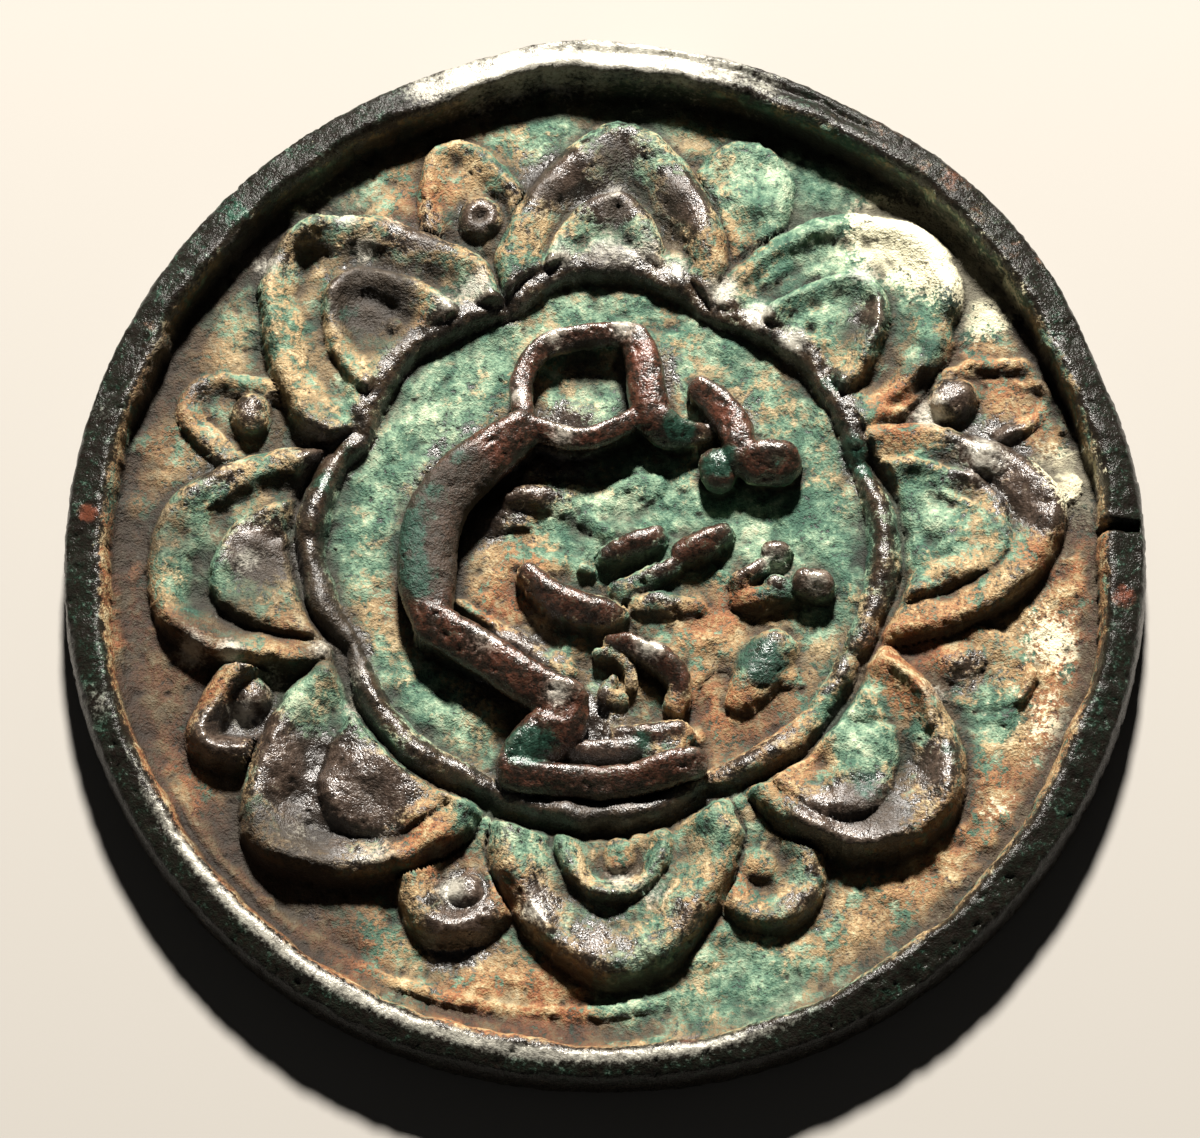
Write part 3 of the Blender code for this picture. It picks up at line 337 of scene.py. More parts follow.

# Deposits of the patina, and places of painted shade and painted highlights: x, y and radius in shares,
# strength
PATINA = {
    "soil": (
        (-35, 76, 7, 0.6), (-41, 71, 5, 0.3), (-81, 47, 7, 0.3), (-88, 34, 8, 0.5), (-95, 20, 8, 0.4),
        (-99, 1, 10, 0.6), (-94, -16, 9, 0.9), (-82, -16, 8, 0.9), (-90, -32, 10, 0.9),
        (-84, -55, 10, 0.8), (-70, -69, 10, 0.8), (-52, -79, 10, 0.7), (-24, -91, 9, 0.7),
        (-9, -91, 8, 0.8), (-9, -87, 6, 0.4), (19, -91, 6, 0.2), (46, -78, 8, 0.1), (58, -68, 9, 0.3),
        (68, -60, 8, 0.5), (78, -48, 9, 0.6), (88, -33, 9, 0.7), (93, -17, 8, 0.8), (95, 0, 8, 0.8),
        (63, -19, 7, 0.9), (71, -11, 7, 0.4), (55, -19, 5, 1.0), (59, 27, 5, 0.7), (59, 33, 5, 0.8),
        (71, 43, 6, 0.4), (79, 37, 7, 0.5), (85, 29, 6, 0.6), (26, 65, 5, 0.4), (-42, -8, 6, 0.3),
        (-21, -10, 5, 0.8), (27, -8, 6, 1.1), (19, -13, 5, 0.6), (39, -29, 8, 0.3), (33, -37, 7, 0.2),
        (23, -29, 6, 0.5), (19, -43, 5, 0.6), (-43, 48, 6, 0.2), (-35, 48, 4, 0.6), (-62, -16, 6, 0.6),
        (-70, -32, 6, 0.9), (-80, -26, 5, 0.8), (-36, -57, 6, 0.8), (-30, -61, 6, 0.8),
        (-18, -69, 5, 0.7), (3, -63, 4, 0.6), (27, -65, 5, 0.6), (19, -73, 4, 0.5), (43, -41, 4, 0.9),
        (54, -47, 6, 0.5), (59, -29, 5, 0.7), (37, -47, 5, 0.4), (79, 16, 5, 0.3), (87, 0, 5, 0.5),
        (-15, -5, 8, 0.5), (-14, 2, 7, 0.3), (18, -30, 7, 0.5), (30, -34, 7, 0.4), (-40, -38, 6, 0.5),
        (-32, -44, 5, 0.4),
    ),
    "malachite": (
        (-55, 76, 9, 0.3), (-71, 49, 8, 0.2), (-40, -86, 8, 0.3), (3, -90, 6, 0.7), (15, -89, 8, 0.4),
        (31, -86, 8, 0.6), (78, -33, 5, 0.9), (77, 54, 7, 0.3), (66, 63, 9, 0.9), (54, 68, 9, 0.9),
        (44, 75, 9, 0.8), (32, 80, 9, 0.6), (9, 93, 9, 0.4), (-9, 93, 9, 0.3), (-45, 17, 12, 0.6),
        (-35, 34, 10, 0.7), (-23, 46, 8, 0.6), (-53, 0, 8, 0.4), (-40, -28, 12, 0.4), (-30, -37, 8, 0.3),
        (-5, 6, 8, 0.5), (7, 10, 12, 0.7), (27, 8, 12, 0.6), (43, 4, 10, 0.7), (45, -12, 8, 0.2),
        (-1, 52, 10, 0.5), (27, 46, 8, 0.7), (39, 27, 8, 0.3), (-1, 33, 7, 0.5), (-80, -3, 12, 0.5),
        (-60, -28, 6, 0.3), (-52, -36, 6, 0.2), (-24, -53, 6, 0.5), (-9, -59, 6, 0.3), (7, -69, 8, 0.2),
        (-16, -57, 4, 0.5), (51, -41, 7, 0.7), (25, -57, 8, 0.2), (63, 8, 8, 0.7), (46, 60, 12, 0.6),
        (3, 71, 8, 0.4), (-97, 13, 6, 0.2),
        (48, -34, 7, 0.5), (-62, -30, 5, 0.5), (-42, -36, 6, 0.4), (60, 66, 12, 0.3),
    ),
    "bare": (
        (-62, 45, 13, -0.5), (46, 60, 12, -0.5), (-80, 0, 12, -0.2), (-68, -30, 6, 0.8), (-58, -68, 5, 0.5),
        (-28, -66, 5, 0.8), (-30, -78, 6, 0.7), (17, -98, 4, 0.3),
        (-54, -49, 12, 0.9), (-60, -40, 8, 0.5), (-43, -47, 7, 0.6), (-76, -36, 6, 0.7),
        (76, 20, 7, 0.8), (85, 12, 6, 0.7), (52, -52, 9, 0.8), (65, -43, 5, 0.7), (43, -53, 6, 0.6),
        (-1, -77, 8, 0.5), (-13, -69, 5, 0.6), (17, -73, 4, 0.4), (-9, 80, 7, 0.7), (17, 72, 6, 0.6),
        (4, 86, 5, 0.5), (-61, 61, 6, 0.4), (-51, 53, 6, 0.6), (-37, 68, 6, 0.5), (-78, 19, 6, 0.4),
        (-67, 1, 6, 0.4), (-61, 26, 5, 0.3), (72, -23, 5, 0.5), (-71, 32, 4, 0.6), (-81, 36, 4, 0.4),
        (70, 34, 4, 0.8), (39, -70, 6, 0.3), (-26, -73, 6, 0.6), (-27, 13, 9, 0.9), (-19, -20, 8, 0.9),
        (-5, -31, 6, 0.8), (-1, -43, 9, 0.8), (9, 38, 6, 0.9), (25, 29, 5, 0.9), (-9, 25, 8, 0.9),
        (-47, 55, 6, 0.9), (52, 51, 5, 0.8), (-56, 22, 5, 0.5), (80, 26, 6, 0.5), (88, 8, 5, 0.4),
        (-25, 20, 12, 0.3),
        (48, -36, 8, -0.8), (-60, -30, 6, -0.5), (-40, -37, 6, -0.3), (-60, 55, 6, -0.3),
        (-70, 2, 6, 0.9), (2, 74, 5, 0.8), (-25, 72, 4, 0.9), (-12, 80, 5, 0.4), (15, 78, 5, 0.3),
        (-47, 55, 7, 0.3),
    ),
    "dark green": (
        (7, -38, 4, 0.6), (-13, -39, 6, 0.6), (31, -21, 6, 0.9), (13, -6, 5, 0.6), (65, 43, 6, 0.7),
        (34, 74, 5, 0.5), (-31, 73, 4, 0.6), (49, 23, 4, 0.6), (51, 0, 5, 0.6), (-56, 15, 4, 0.5),
        (15, 26, 3, 0.9), (22, 18, 3, 0.6), (-82, -10, 6, 0.5), (3, -81, 5, 0.5), (52, -47, 4, 0.7),
        (68, -41, 3, 0.5), (11, -27, 4, 0.5), (-63, 26, 5, 0.4), (-3, -10, 5, 0.4), (-74, 73, 6, 0.5),
        (88, 45, 5, 0.4),
        (-39, 4, 5, 0.8), (-37, -6, 5, 0.7), (-34, 12, 5, 0.5), (-28, 20, 4, 0.5), (-16, -40, 4, 0.6),
        (24, 20, 4, 0.6), (34, 20, 5, 0.5), (15, 27, 4, 0.5), (52, 18, 5, 0.5), (52, 8, 4, 0.5),
        (49, -20, 4, 0.5), (35, 44, 6, 0.4), (46, 36, 5, 0.5), (-52, 22, 4, 0.4),
        (70, 54, 4, 0.8), (22, 82, 5, 0.4), (-64, 8, 4, 0.4), (44, 54, 4, 0.4),
        (-51, 52, 4, 0.5), (60, -50, 5, 0.3), (50, -56, 4, 0.3),
    ),
    "copper": (
        (-21, 19, 7, 0.7), (-31, 4, 8, 0.6), (8, 41, 4, 1.0), (9, 33, 4, 0.7), (-3, 24, 5, 0.7),
        (24, 29, 4, 0.9), (-21, -24, 7, 0.7), (-5, -32, 5, 0.6), (-102, 9, 2, 1.0), (103, -9, 3, 1.0),
        (17, -98, 3, 0.8), (-9, -43, 6, 0.4), (11, 78, 2, 0.5), (-91, 49, 3, 0.5),
        (60, 86, 7, 0.25), (72, 76, 7, 0.25), (84, 62, 7, 0.25), (48, 93, 6, 0.25), (-103, 8, 3, 0.5),
    ),
    "pale": (
        (60, 66, 12, 0.5), (76, 48, 8, 0.4), (-38, 30, 7, 0.4),
        (92, 16, 7, 1.1), (91, 0, 4, 0.4), (90, -17, 5, 0.4), (-55, 77, 9, 0.5), (-73, 51, 6, 0.4),
        (68, 61, 7, 0.6), (52, 70, 6, 0.5), (82, 54, 5, 0.5), (90, -33, 5, 0.6), (78, -50, 5, 0.5),
        (70, -64, 5, 0.5), (59, 29, 4, 0.6), (-1, 34, 4, 0.4), (-45, 9, 7, 0.4), (7, 95, 6, 0.4),
        (-17, 52, 5, 0.3), (-85, 28, 4, 0.4), (-99, 26, 5, 0.3),
        (96, 18, 4, 0.6), (95, 8, 4, 0.5), (78, 58, 6, 0.4),
        (90, -20, 6, 0.4), (84, -40, 6, 0.4), (88, 22, 5, 0.4), (56, 70, 8, 0.2), (70, 58, 8, 0.2),
        (50, 62, 8, 0.15), (26, 84, 6, 0.3),
        (86, -12, 8, 0.4), (80, -30, 8, 0.3), (70, -50, 8, 0.3), (68, 62, 8, 0.3), (76, 50, 7, 0.3),
        (60, 70, 7, 0.3), (61, 65, 12, 0.3), (90, -12, 9, 0.25), (84, -30, 8, 0.25),
    ),
    # Dirt, and painted shade where shadow falls, as in the pit by the upper left rim, under the loop's top
    # band and in the upper left leaf; broad dark patches also lie over the left-hand side
    "dirt": (
        (-33, 9, 8, 0.9), (-35, -3, 6, 0.7), (-26, 15, 6, 0.6),
        (-92, 20, 16, 0.4), (-85, -25, 14, 0.5), (-76, -58, 14, 0.8), (-55, -76, 12, 0.7), (-46, 51, 8, 1.2),
        (-85, 45, 12, 0.5), (-35, 65, 8, 0.5), (-60, -5, 14, 0.5), (-54, -20, 8, 0.6), (-58, 30, 7, 0.5),
        (1, 62, 7, 0.6), (24, 58, 6, 0.5), (62, 38, 6, 0.6), (50, 46, 5, 0.6), (-2, -50, 12, 0.5),
        (-4, 41, 5, 1), (-47, 54, 6, 0.6), (30, 44, 6, 0.3), (-100, 60, 14, 0.3), (-75, 70, 10, 0.6),
        (88, -38, 10, 0.2), (35, -30, 6, 0.4), (-60, -62, 10, 0.6), (20, -60, 6, 0.4),
        (-86, 5, 8, 0.4), (-74, -12, 6, 0.6),
        (-34, 2, 8, 0.45), (-27, 17, 6, 0.35), (-47, 54, 6, 0.4), (-95, 40, 12, 0.3), (-98, 0, 12, 0.3),
        (-96, -30, 12, 0.4),
        (-12, 78, 6, 0.6), (14, 76, 6, 0.6), (1, 84, 5, 0.5), (-70, 65, 5, 1.2), (-60, -35, 6, 0.4),
        (-46, -46, 6, 0.4), (-33, -8, 6, 0.3), (-31, 9, 6, 0.3),
        (-70, 0, 5, 0.5), (2, 73, 4, 0.6), (-25, 71, 4, 0.5), (-62, 14, 5, 0.5), (-84, -14, 6, 0.4),
        (72, -14, 6, 0.3), (58, -56, 6, 0.4), (36, -60, 5, 0.5), (-40, -62, 5, 0.4),
        (51, -50, 8, 0.5), (-46, 55, 5, 0.5), (3, 83, 7, 0.3),
    ),
    # Painted highlights: the bright top of the rim, and glints on crests of petals, leaves, frame and figure
    "polished": (
        (-36, 97.5, 4, 0.6), (-28, 100, 4.5, 0.9), (-19, 102.5, 4.5, 1), (-10, 104, 4.5, 1),
        (-1, 104.5, 4.5, 1), (8, 104.3, 4.5, 1), (17, 102.6, 4.5, 0.9), (25, 101, 4, 0.6),
        (33, 98, 4, 0.4), (-48, 65, 2.6, 0.8), (65, 30, 3.5, 0.8), (76, 21, 5, 0.6), (0, 65, 4, 0.5),
        (8, 64, 4, 0.5), (-68, 62, 3, 0.5), (-52, 71, 2.5, 0.6), (-42, 71, 2.5, 0.4), (52, 59, 3, 0.7),
        (-82, -18, 3, 0.8), (-74, -19, 2.5, 0.9), (-72, -31, 3, 0.7), (-66, -24, 3, 0.4),
        (-60, -55, 4, 0.3), (-45, -60, 4, 0.4), (-30, -67, 3, 0.8), (-14, -72, 4, 0.5),
        (3, -65, 3, 0.6), (10, -68, 3, 0.5), (58, -50, 4, 0.1), (45, -57, 4, 0.15), (66, -28, 3, 0.4),
        (-100, -30, 3, 0.3), (34, -1, 3, 0.6), (42, -6, 3, 0.5), (-24, -19, 4, 0.3), (9, -19, 3, 0.6),
        (-26, 57, 3, 0.9), (-32, 53, 3, 0.5), (-8, 64, 3, 0.6), (15, 61, 3, 0.6), (24, 56, 3, 0.8),
        (31, 51, 3, 0.8), (38, 45, 3, 0.8), (-56, -18, 3, 0.4), (-50, -30, 3, 0.3),
        (-50, -24, 2.5, 0.3), (-10, 46, 3, 0.5), (4, 47, 3, 0.6), (-9, -29, 3, 0.6), (-17, 33, 2, 0.6),
        (-8, 24, 3, 0.5), (19, -45, 3, 0.3), (-100, 30, 3, 0.2), (-71, 0, 2.5, 0.6), (2, 77, 2.5, 0.5),
    ),
}

# Section of the figure's limbs: the power that squares it, and how much its upper edge is raised
LIMB_SQUARENESS = 0.72
LIMB_SLANT = 0.55
# The rough skin of the casting
SKIN = {
    "Lump Size": 0.0011,
    "Lump Height": 0.00026,
    "Grain Size": 0.00035,
    "Grain Height": 0.00018,
    "Pit Size": 0.0006,
    "Pit Depth": 0.00013,
}
# Detail of the lumps' and the grain's noise
SKIN_DETAIL = {"Lump": 2.0, "Grain": 3.0}
# Value of the noise from which a pit starts, and at which it is deepest
PIT_EDGE = (0.62, 0.74)
# Height over the reflecting face from which the skin grows, and over which it reaches its full height
SKIN_START = (0.0004, 0.0008)

# What the patina reads from the mesh
# Rounds of easing and scale of the sharp edges and of the broad folds
EDGE_READING = (2, 0.00035)
FOLD_READING = (12, 0.0009)
EASING = 0.6
# Cells over which the height map is blurred, the height that counts as one, and the most that counts
BROAD_CELLS = 10
BROAD_HEIGHT = 0.0010
BROAD_MOST = 0.6
# Share of the folds in the ridges; the broad heights have the rest
FOLD_SHARE = 0.6
# Start and length of the fade onto the rim from the field's radius, and onto the figure over the plate
RIM_FADE = (-0.0004, 0.0010)
HIGH_FADE = (0.0011, 0.0011)
# Shares over which the figure's bronze begins inside the frame
INSIDE_FADE = 3
# How much soil a patch of malachite keeps off
GREEN_KEEPS_SOIL_OFF = 0.8
# Arcs of the rim: start, end, fade, strength. Along the lower crest a highlight line is painted, and on the
# upper inner wall a shadow
CREST_HIGHLIGHT_ARC = (195, 300, 25, 0.7)
COPPER_ARC = (15, 80, 25, 0.25)
PAINTED_WALL_SHADOW_ARC = (5, 165, 15, 1.0)
RUSTY_WALL_ARC = (165, 285, 15, 1.0)
COATED_FRAME_ARC = (285, 382, 15, 0.45)
# Start and length in shares of the fade to the wall with painted shadow, and to the rusty wall
PAINTED_WALL_SHADOW = (92, 5)
RUSTY_WALL = (88, 6)
# The painted shadow on the upper inner wall ends under the crest: distance from it, and fade
PAINTED_WALL_SHADOW_END = (0.0009, 0.0004)
# How far the frame's bare metal reaches, in half-widths of its ridge
FRAME_REACH = 1.4
# How much a surface leans away from the upper side, where the light stands, before painted shade darkens it,
# and the fade
AWAY_FROM_LIGHT_FADE = (0.25, 0.5)

# Camera: lens in millimetres, distance, point looked at, and side it looks from
CAMERA_LENS = 220.9
CAMERA_DISTANCE = 0.45
CAMERA_TARGET = (-0.00031, 0.00025, 0.0)
CAMERA_SIDE = (0.0233, -0.2662, 0.9636)
SENSOR_WIDTH = 36.0
CLIP_START = 0.01
# Lights: powers in watts
KEY_ELEVATION = 42.0
KEY_DISTANCE = 0.60
KEY_SIDEWAYS = 0.02
KEY_SIZE = 0.07
KEY_POWER = 15.0
KEY_COLOUR = (1.0, 0.96, 0.90)
FILL_PLACE = (-0.15, -0.35, 0.45)
FILL_SIZE = 0.30
FILL_POWER = 0.025
FILL_COLOUR = (0.92, 0.96, 1.0)
WORLD_COLOUR = (1.0, 0.98, 0.95, 1.0)
WORLD_STRENGTH = 0.02


def screen(red, green, blue):
    """A colour given as a screen shows it, 0 to 255, as the light it stands for."""
    parts = [value / 255 for value in (red, green, blue)]
    light = [part / 12.92 if part <= 0.04045 else ((part + 0.055) / 1.055) ** 2.4 for part in parts]
    return (*light, 1.0)


BRONZE_BLACK = screen(24, 20, 17)
BRONZE_DARK = screen(34, 28, 22)
BRONZE_BROWN = screen(58, 45, 32)
BRONZE_OLIVE = screen(56, 56, 40)
BRONZE_PURPLE = screen(60, 48, 40)
BRONZE_PURPLE_LIGHT = screen(90, 75, 64)
# Worn bronze, also laid where highlights are painted
BRONZE_WORN_AND_HIGHLIGHT = screen(150, 138, 122)
# Painted highlight
PAINTED_HIGHLIGHT_COLOUR = screen(198, 194, 180)
LIMB_BROWN = screen(42, 31, 23)
LIMB_RED = screen(76, 44, 31)
RIM_GREEN = screen(24, 27, 21)
CUPRITE_DARK = screen(70, 42, 32)
CUPRITE = screen(96, 54, 38)
GREEN_BLACK = screen(22, 38, 28)
GREEN_DARK = screen(34, 68, 54)
MALACHITE_DEEP = screen(62, 92, 74)
MALACHITE = screen(108, 132, 108)
MINT = screen(172, 181, 152)
SOIL_BROWN = screen(58, 42, 28)
SOIL_ORANGE = screen(126, 76, 44)
SOIL_OCHRE = screen(140, 114, 78)
SOIL_TAN = screen(180, 164, 128)
# Dirt, and painted shade
DIRT_AND_SHADE_COLOUR = screen(40, 32, 20)
PALE_CRUST = screen(215, 207, 176)
# Painted shade, and dark flecks
PAINTED_SHADE_AND_FLECK_COLOUR = screen(26, 20, 14)
PAPER = screen(150, 146, 140)
PAPER_ROUGHNESS = 0.9

# Numbers that lie on the mesh for the patina and for its painted shade and highlights
READINGS = ("ridge", "edge", "high", "rim", "frame", "lee", "rust", "soil", "malachite", "bare", "copper",
            "dirt", "dark green", "pale", "polished")
MILLIMETRES = 1000.0
# Noise: width of its spots in millimetres, detail, roughness, distortion
SPOTS = {
    "cloud": (2.6, 3.0, 0.6, 0.3),
    "blotch": (0.9, 4.0, 0.65, 0.2),
    "stain": (1.4, 4.0, 0.7, 0.4),
    "speck": (0.30, 3.0, 0.7, 0.0),
    "grit": (0.13, 2.0, 0.6, 0.0),
}
# Colours: the mixture that picks them, and the colour at each of its values
COLOURS = {
    "plate": ((("cloud", 0.3), ("blotch", 0.4), ("speck", 0.3)),
              ((0.36, BRONZE_BLACK), (0.47, BRONZE_DARK), (0.55, BRONZE_BROWN), (0.64, BRONZE_OLIVE))),
    "limbs": ((("stain", 0.5), ("speck", 0.5)),
              ((0.36, BRONZE_DARK), (0.47, LIMB_BROWN), (0.54, LIMB_RED), (0.64, BRONZE_OLIVE))),
    "rim": ((("stain", 0.5), ("speck", 0.5)),
            ((0.42, BRONZE_BLACK), (0.56, RIM_GREEN), (0.67, GREEN_DARK), (0.76, BRONZE_BROWN))),
    "bare": ((("blotch", 0.5), ("speck", 0.5)),
             ((0.34, BRONZE_DARK), (0.50, BRONZE_PURPLE), (0.64, BRONZE_PURPLE_LIGHT))),
    "copper": ((("speck", 1.0),), ((0.35, CUPRITE_DARK), (0.65, CUPRITE))),
    "green": ((("cloud", 0.35), ("blotch", 0.40), ("speck", 0.25)),
              ((0.38, GREEN_DARK), (0.46, MALACHITE_DEEP), (0.53, MALACHITE), (0.62, MINT))),
    "soil": ((("cloud", 0.20), ("stain", 0.50), ("speck", 0.30)),
             ((0.40, SOIL_BROWN), (0.47, SOIL_ORANGE), (0.53, SOIL_OCHRE), (0.62, SOIL_TAN))),
    "dark green": ((("speck", 1.0),), ((0.35, GREEN_BLACK), (0.65, GREEN_DARK))),
}
# Layers: the value of its mixture at which each one starts, that at which it covers, and the mixture
LAYERS = {
    "bare": (0.60, 0.95, (("bare", 1.0), ("blotch", 0.6), ("ridge", 0.25))),
    "copper": (0.98, 1.26, (("copper", 0.6), ("stain", 1.0), ("speck", 0.4))),
    "soil": (1.02, 1.26, (("soil", 0.24), ("malachite", -0.24), ("rust", 0.10), ("cloud", 0.5),
                          ("stain", 1.1), ("speck", 0.7))),
    "coat": (0.40, 0.66, (("blotch", 0.80), ("speck", 0.60), ("ridge", -0.20), ("edge", -0.08),
                          ("bare", -0.62), ("rim", -0.50), ("high", -0.46), ("frame", -0.36),
                          ("malachite", 0.12), ("soil", 0.12))),
    "dirt": (0.60, 1.10, (("dirt", 0.9), ("blotch", 0.5), ("stain", 0.4), ("ridge", -0.2))),
    "dark green": (0.88, 1.10, (("dark green", 0.8), ("stain", 0.9), ("speck", 0.3))),
    "pale": (0.98, 1.14, (("pale", 0.45), ("speck", 0.9), ("blotch", 0.5), ("ridge", -0.15))),
    # Painted shade: dark in hollows and grooves and on the sides that lean away from the light
    "painted_shade": (0.46, 0.98, (("ridge", -1.15), ("edge", -0.55), ("speck", 0.35), ("stain", 0.5),
                           ("lee", 0.50))),
    "fleck": (-0.71, -0.56, (("speck", -1.0), ("blotch", -0.6))),
    # Wear on the edges, which also takes the painted highlights
    "worn": (0.50, 1.05, (("edge", 1.0), ("ridge", 0.45), ("blotch", 0.5), ("polished", 0.5),
                          ("rim", -0.20))),
    # Painted highlights, at the highlight places and on some sharp edges
    "painted_shine": (0.75, 1.25, (("polished", 0.7), ("speck", 0.8), ("stain", 0.5), ("edge", 0.2))),
}
# How much of its colour a layer gives where it covers
STRENGTH = {"dirt": 0.80, "pale": 0.85, "painted_shade": 0.88, "fleck": 0.70, "worn": 0.28, "painted_shine": 0.70}
# How much of the wear shows where the metal is coated
WORN_UNDER_COAT = 0.25
# Finish where the metal is coated, free, on the rim or worn; its roughness also takes a share of specks
ROUGHNESS = {"coated": 0.75, "free": 0.12, "rim": 0.19, "worn": 0.15}
SPECK_ROUGHNESS = {"free": 0.38, "rim": 0.20}
GLOSS = {"coated": 0.35, "free": 0.85, "rim": 0.16, "worn": 1.0}
FREE_METALLIC = 0.12
BUMP_MIX = (("speck", 1.0), ("grit", 0.6), ("coat", 0.25), ("blotch", 0.7))
BUMP_STRENGTH = {"coated": 0.9, "free": 0.50, "worn": 0.28}
BUMP_HEIGHT = 0.00017


def smooth(t):
    """From 0 to 1, easing out of the one and into the other."""
    t = np.clip(t, 0.0, 1.0)
    return t * t * (3.0 - 2.0 * t)


def rising(value, start, length):
    """From 0 at the start to 1 a length further on."""
    return smooth((value - start) / length)


def soft_max(a, b, width):
    """The higher of two surfaces, with a fillet of the given width where they meet."""
    t = np.clip(0.5 + 0.5 * (a - b) / width, 0.0, 1.0)
    return b * (1.0 - t) + a * t + width * t * (1.0 - t) / 2


def lumps(x, y, size, seed):
    """Smooth random heights from -1 to 1 whose lumps are about as wide as the size."""
    table = np.random.default_rng(seed).uniform(-1, 1, 4096)
    across, up = np.floor(x / size), np.floor(y / size)
    fade_x, fade_y = smooth(x / size - across), smooth(y / size - up)
    start = (across * 57 + up * 131).astype(int)
    low = table[start % 4096] * (1 - fade_x) + table[(start + 57) % 4096] * fade_x
    high = table[(start + 131) % 4096] * (1 - fade_x) + table[(start + 188) % 4096] * fade_x
    return low * (1 - fade_y) + high * fade_y


def at(angle, radius):
    """The point at an angle and a radius in shares."""
    turn = np.radians(angle)
    return np.stack([radius * SHARE * np.cos(turn), radius * SHARE * np.sin(turn)], -1)


def smooth_route(rows, steps):
    """A Catmull-Rom curve through the rows."""
    rows = np.asarray(rows, float)
    ends = np.vstack([2 * rows[0] - rows[1], rows, 2 * rows[-1] - rows[-2]])
    route = []
    for before, start, end, after in zip(ends[:-3], ends[1:-2], ends[2:-1], ends[3:]):
        for t in np.linspace(0.0, 1.0, steps, endpoint=False):
            bend = 2 * before - 5 * start + 4 * end - after
            twist = 3 * start - before - 3 * end + after
            route.append(0.5 * (2 * start + (end - before) * t + bend * t ** 2 + twist * t ** 3))
    route.append(rows[-1])
    return np.array(route)


def along(x, y, start, end):
    """Distance from a straight stretch, and how far along it the nearest point is."""
    run = end[:2] - start[:2]
    length = max(float(run @ run), 1e-18)
    t = np.clip(((x - start[0]) * run[0] + (y - start[1]) * run[1]) / length, 0.0, 1.0)
    return np.hypot(x - start[0] - t * run[0], y - start[1] - t * run[1]), t


def distance_to(x, y, route):
    """Distance from the nearest stretch of a route."""
    nearest = np.full(x.shape, 1.0)
    for start, end in zip(route[:-1], route[1:]):
        gap, _ = along(x, y, start, end)
        nearest = np.minimum(nearest, gap)
    return nearest


def near(x, y, route, margin):
    """Which points lie in the box around a route."""
    low, high = route[:, :2].min(0) - margin, route[:, :2].max(0) + margin
    return (x > low[0]) & (x < high[0]) & (y > low[1]) & (y < high[1])


def petal_height(x, y, row, rise):
    """A dished plate with a lip along its pointed outline, which rises from under the frame."""
    tip, left, right, tip_radius, foot_radius, fullness, lip, plate, out, inn = row
    t = np.sin(np.linspace(-np.pi / 2, np.pi / 2, CURVE_STEPS))
    angles = tip + np.where(t > 0, left * t, right * t)
    outline = at(angles, foot_radius + (tip_radius - foot_radius) * (1 - np.abs(t) ** fullness))
    foot_a = at(tip - right, PETAL_STOP)[None]
    foot_b = at(tip + left, PETAL_STOP)[None]
    outline = np.concatenate([foot_a, outline, foot_b])
    height = np.zeros_like(x)
    window = near(x, y, outline, SLOPE_OUT * out)
    x, y = x[window], y[window]
    gap = distance_to(x, y, outline)
    radius = np.hypot(x, y)
    turn = (np.degrees(np.arctan2(y, x)) - tip + 180) % 360 - 180
    t = np.where(turn > 0, turn / left, -turn / right)
    edge = foot_radius + (tip_radius - foot_radius) * (1 - np.clip(t, 0, 1) ** fullness)
    inside = (t < 1) & (radius < edge * SHARE)
    worn = 1 + LIP_WEAR * lumps(x, y, LIP_LUMP, LIP_SEED)
    far, high = LIP_OUTSIDE
    outer = lip * np.clip(1 - (gap / (SLOPE_OUT * out)) ** far, 0, 1) ** high
    far, high = LIP_INSIDE
    inner = plate + (lip - plate) * (1 - np.clip(gap / (SLOPE_IN * inn * worn), 0, 1) ** far) ** high
    start = smooth((radius / SHARE - PETAL_STOP) / PETAL_START)
    height[window] = rise * worn * np.where(inside, inner, outer) * start
    return height


def ridge_height(x, y, route, width, height):
    """A round ridge along a route, with the lips' wear."""
    gap = distance_to(x, y, route)
    worn = 1 + LIP_WEAR * lumps(x, y, RIDGE_LUMP, RIDGE_SEED)
    return height * worn * np.clip(1 - (2 * gap / (width * worn)) ** 2, 0, 1) ** 0.5


def carved(x, y, rows, width, height):
    """A fold or a cut that fades towards its sides and its ends."""
    route = smooth_route(np.array(rows) * SHARE, ROUTE_STEPS)
    depth = np.zeros_like(x)
    window = near(x, y, route, width)
    gap = distance_to(x[window], y[window], route)
    depth[window] = height * np.cos(np.pi / 2 * np.clip(gap / width, 0, 1)) ** 2
    return depth


def boss_height(x, y, angle, radius, half, share):
    """A round boss, flatter than a ball."""
    centre = at(angle, radius)
    gap = np.hypot(x - centre[0], y - centre[1]) / (half * SHARE)
    return BOSS_HEIGHT * share * np.sqrt(np.clip(1 - gap ** BOSS_ROUNDING, 0, 1))


def spot(x, y, place_x, place_y, radius):
    """One at a place in shares, fading to nothing round about."""
    return np.exp(-((x / SHARE - place_x) ** 2 + (y / SHARE - place_y) ** 2) / radius ** 2)


def frame_radius(angle):
    """How far out the eight-lobed frame lies at an angle, in shares."""
    radius = np.zeros_like(angle)
    for (start, cusp, middle), (end, next_cusp, _) in zip(FRAME_LOBES, FRAME_LOBES[1:] + FRAME_LOBES[:1]):
        t = ((angle - start) % 360) / ((end - start) % 360)
        bow = (middle - (cusp + next_cusp) / 2) * np.sin(np.pi * np.clip(t, 0, 1)) ** LOBE_BOW
        radius = np.where(t <= 1, cusp + (next_cusp - cusp) * t + bow, radius)
    return radius


def frame_route():
    """The frame's middle line as points, once round."""
    angles = np.linspace(0, 360, FRAME_POINTS)
    return at(angles, frame_radius(angles))


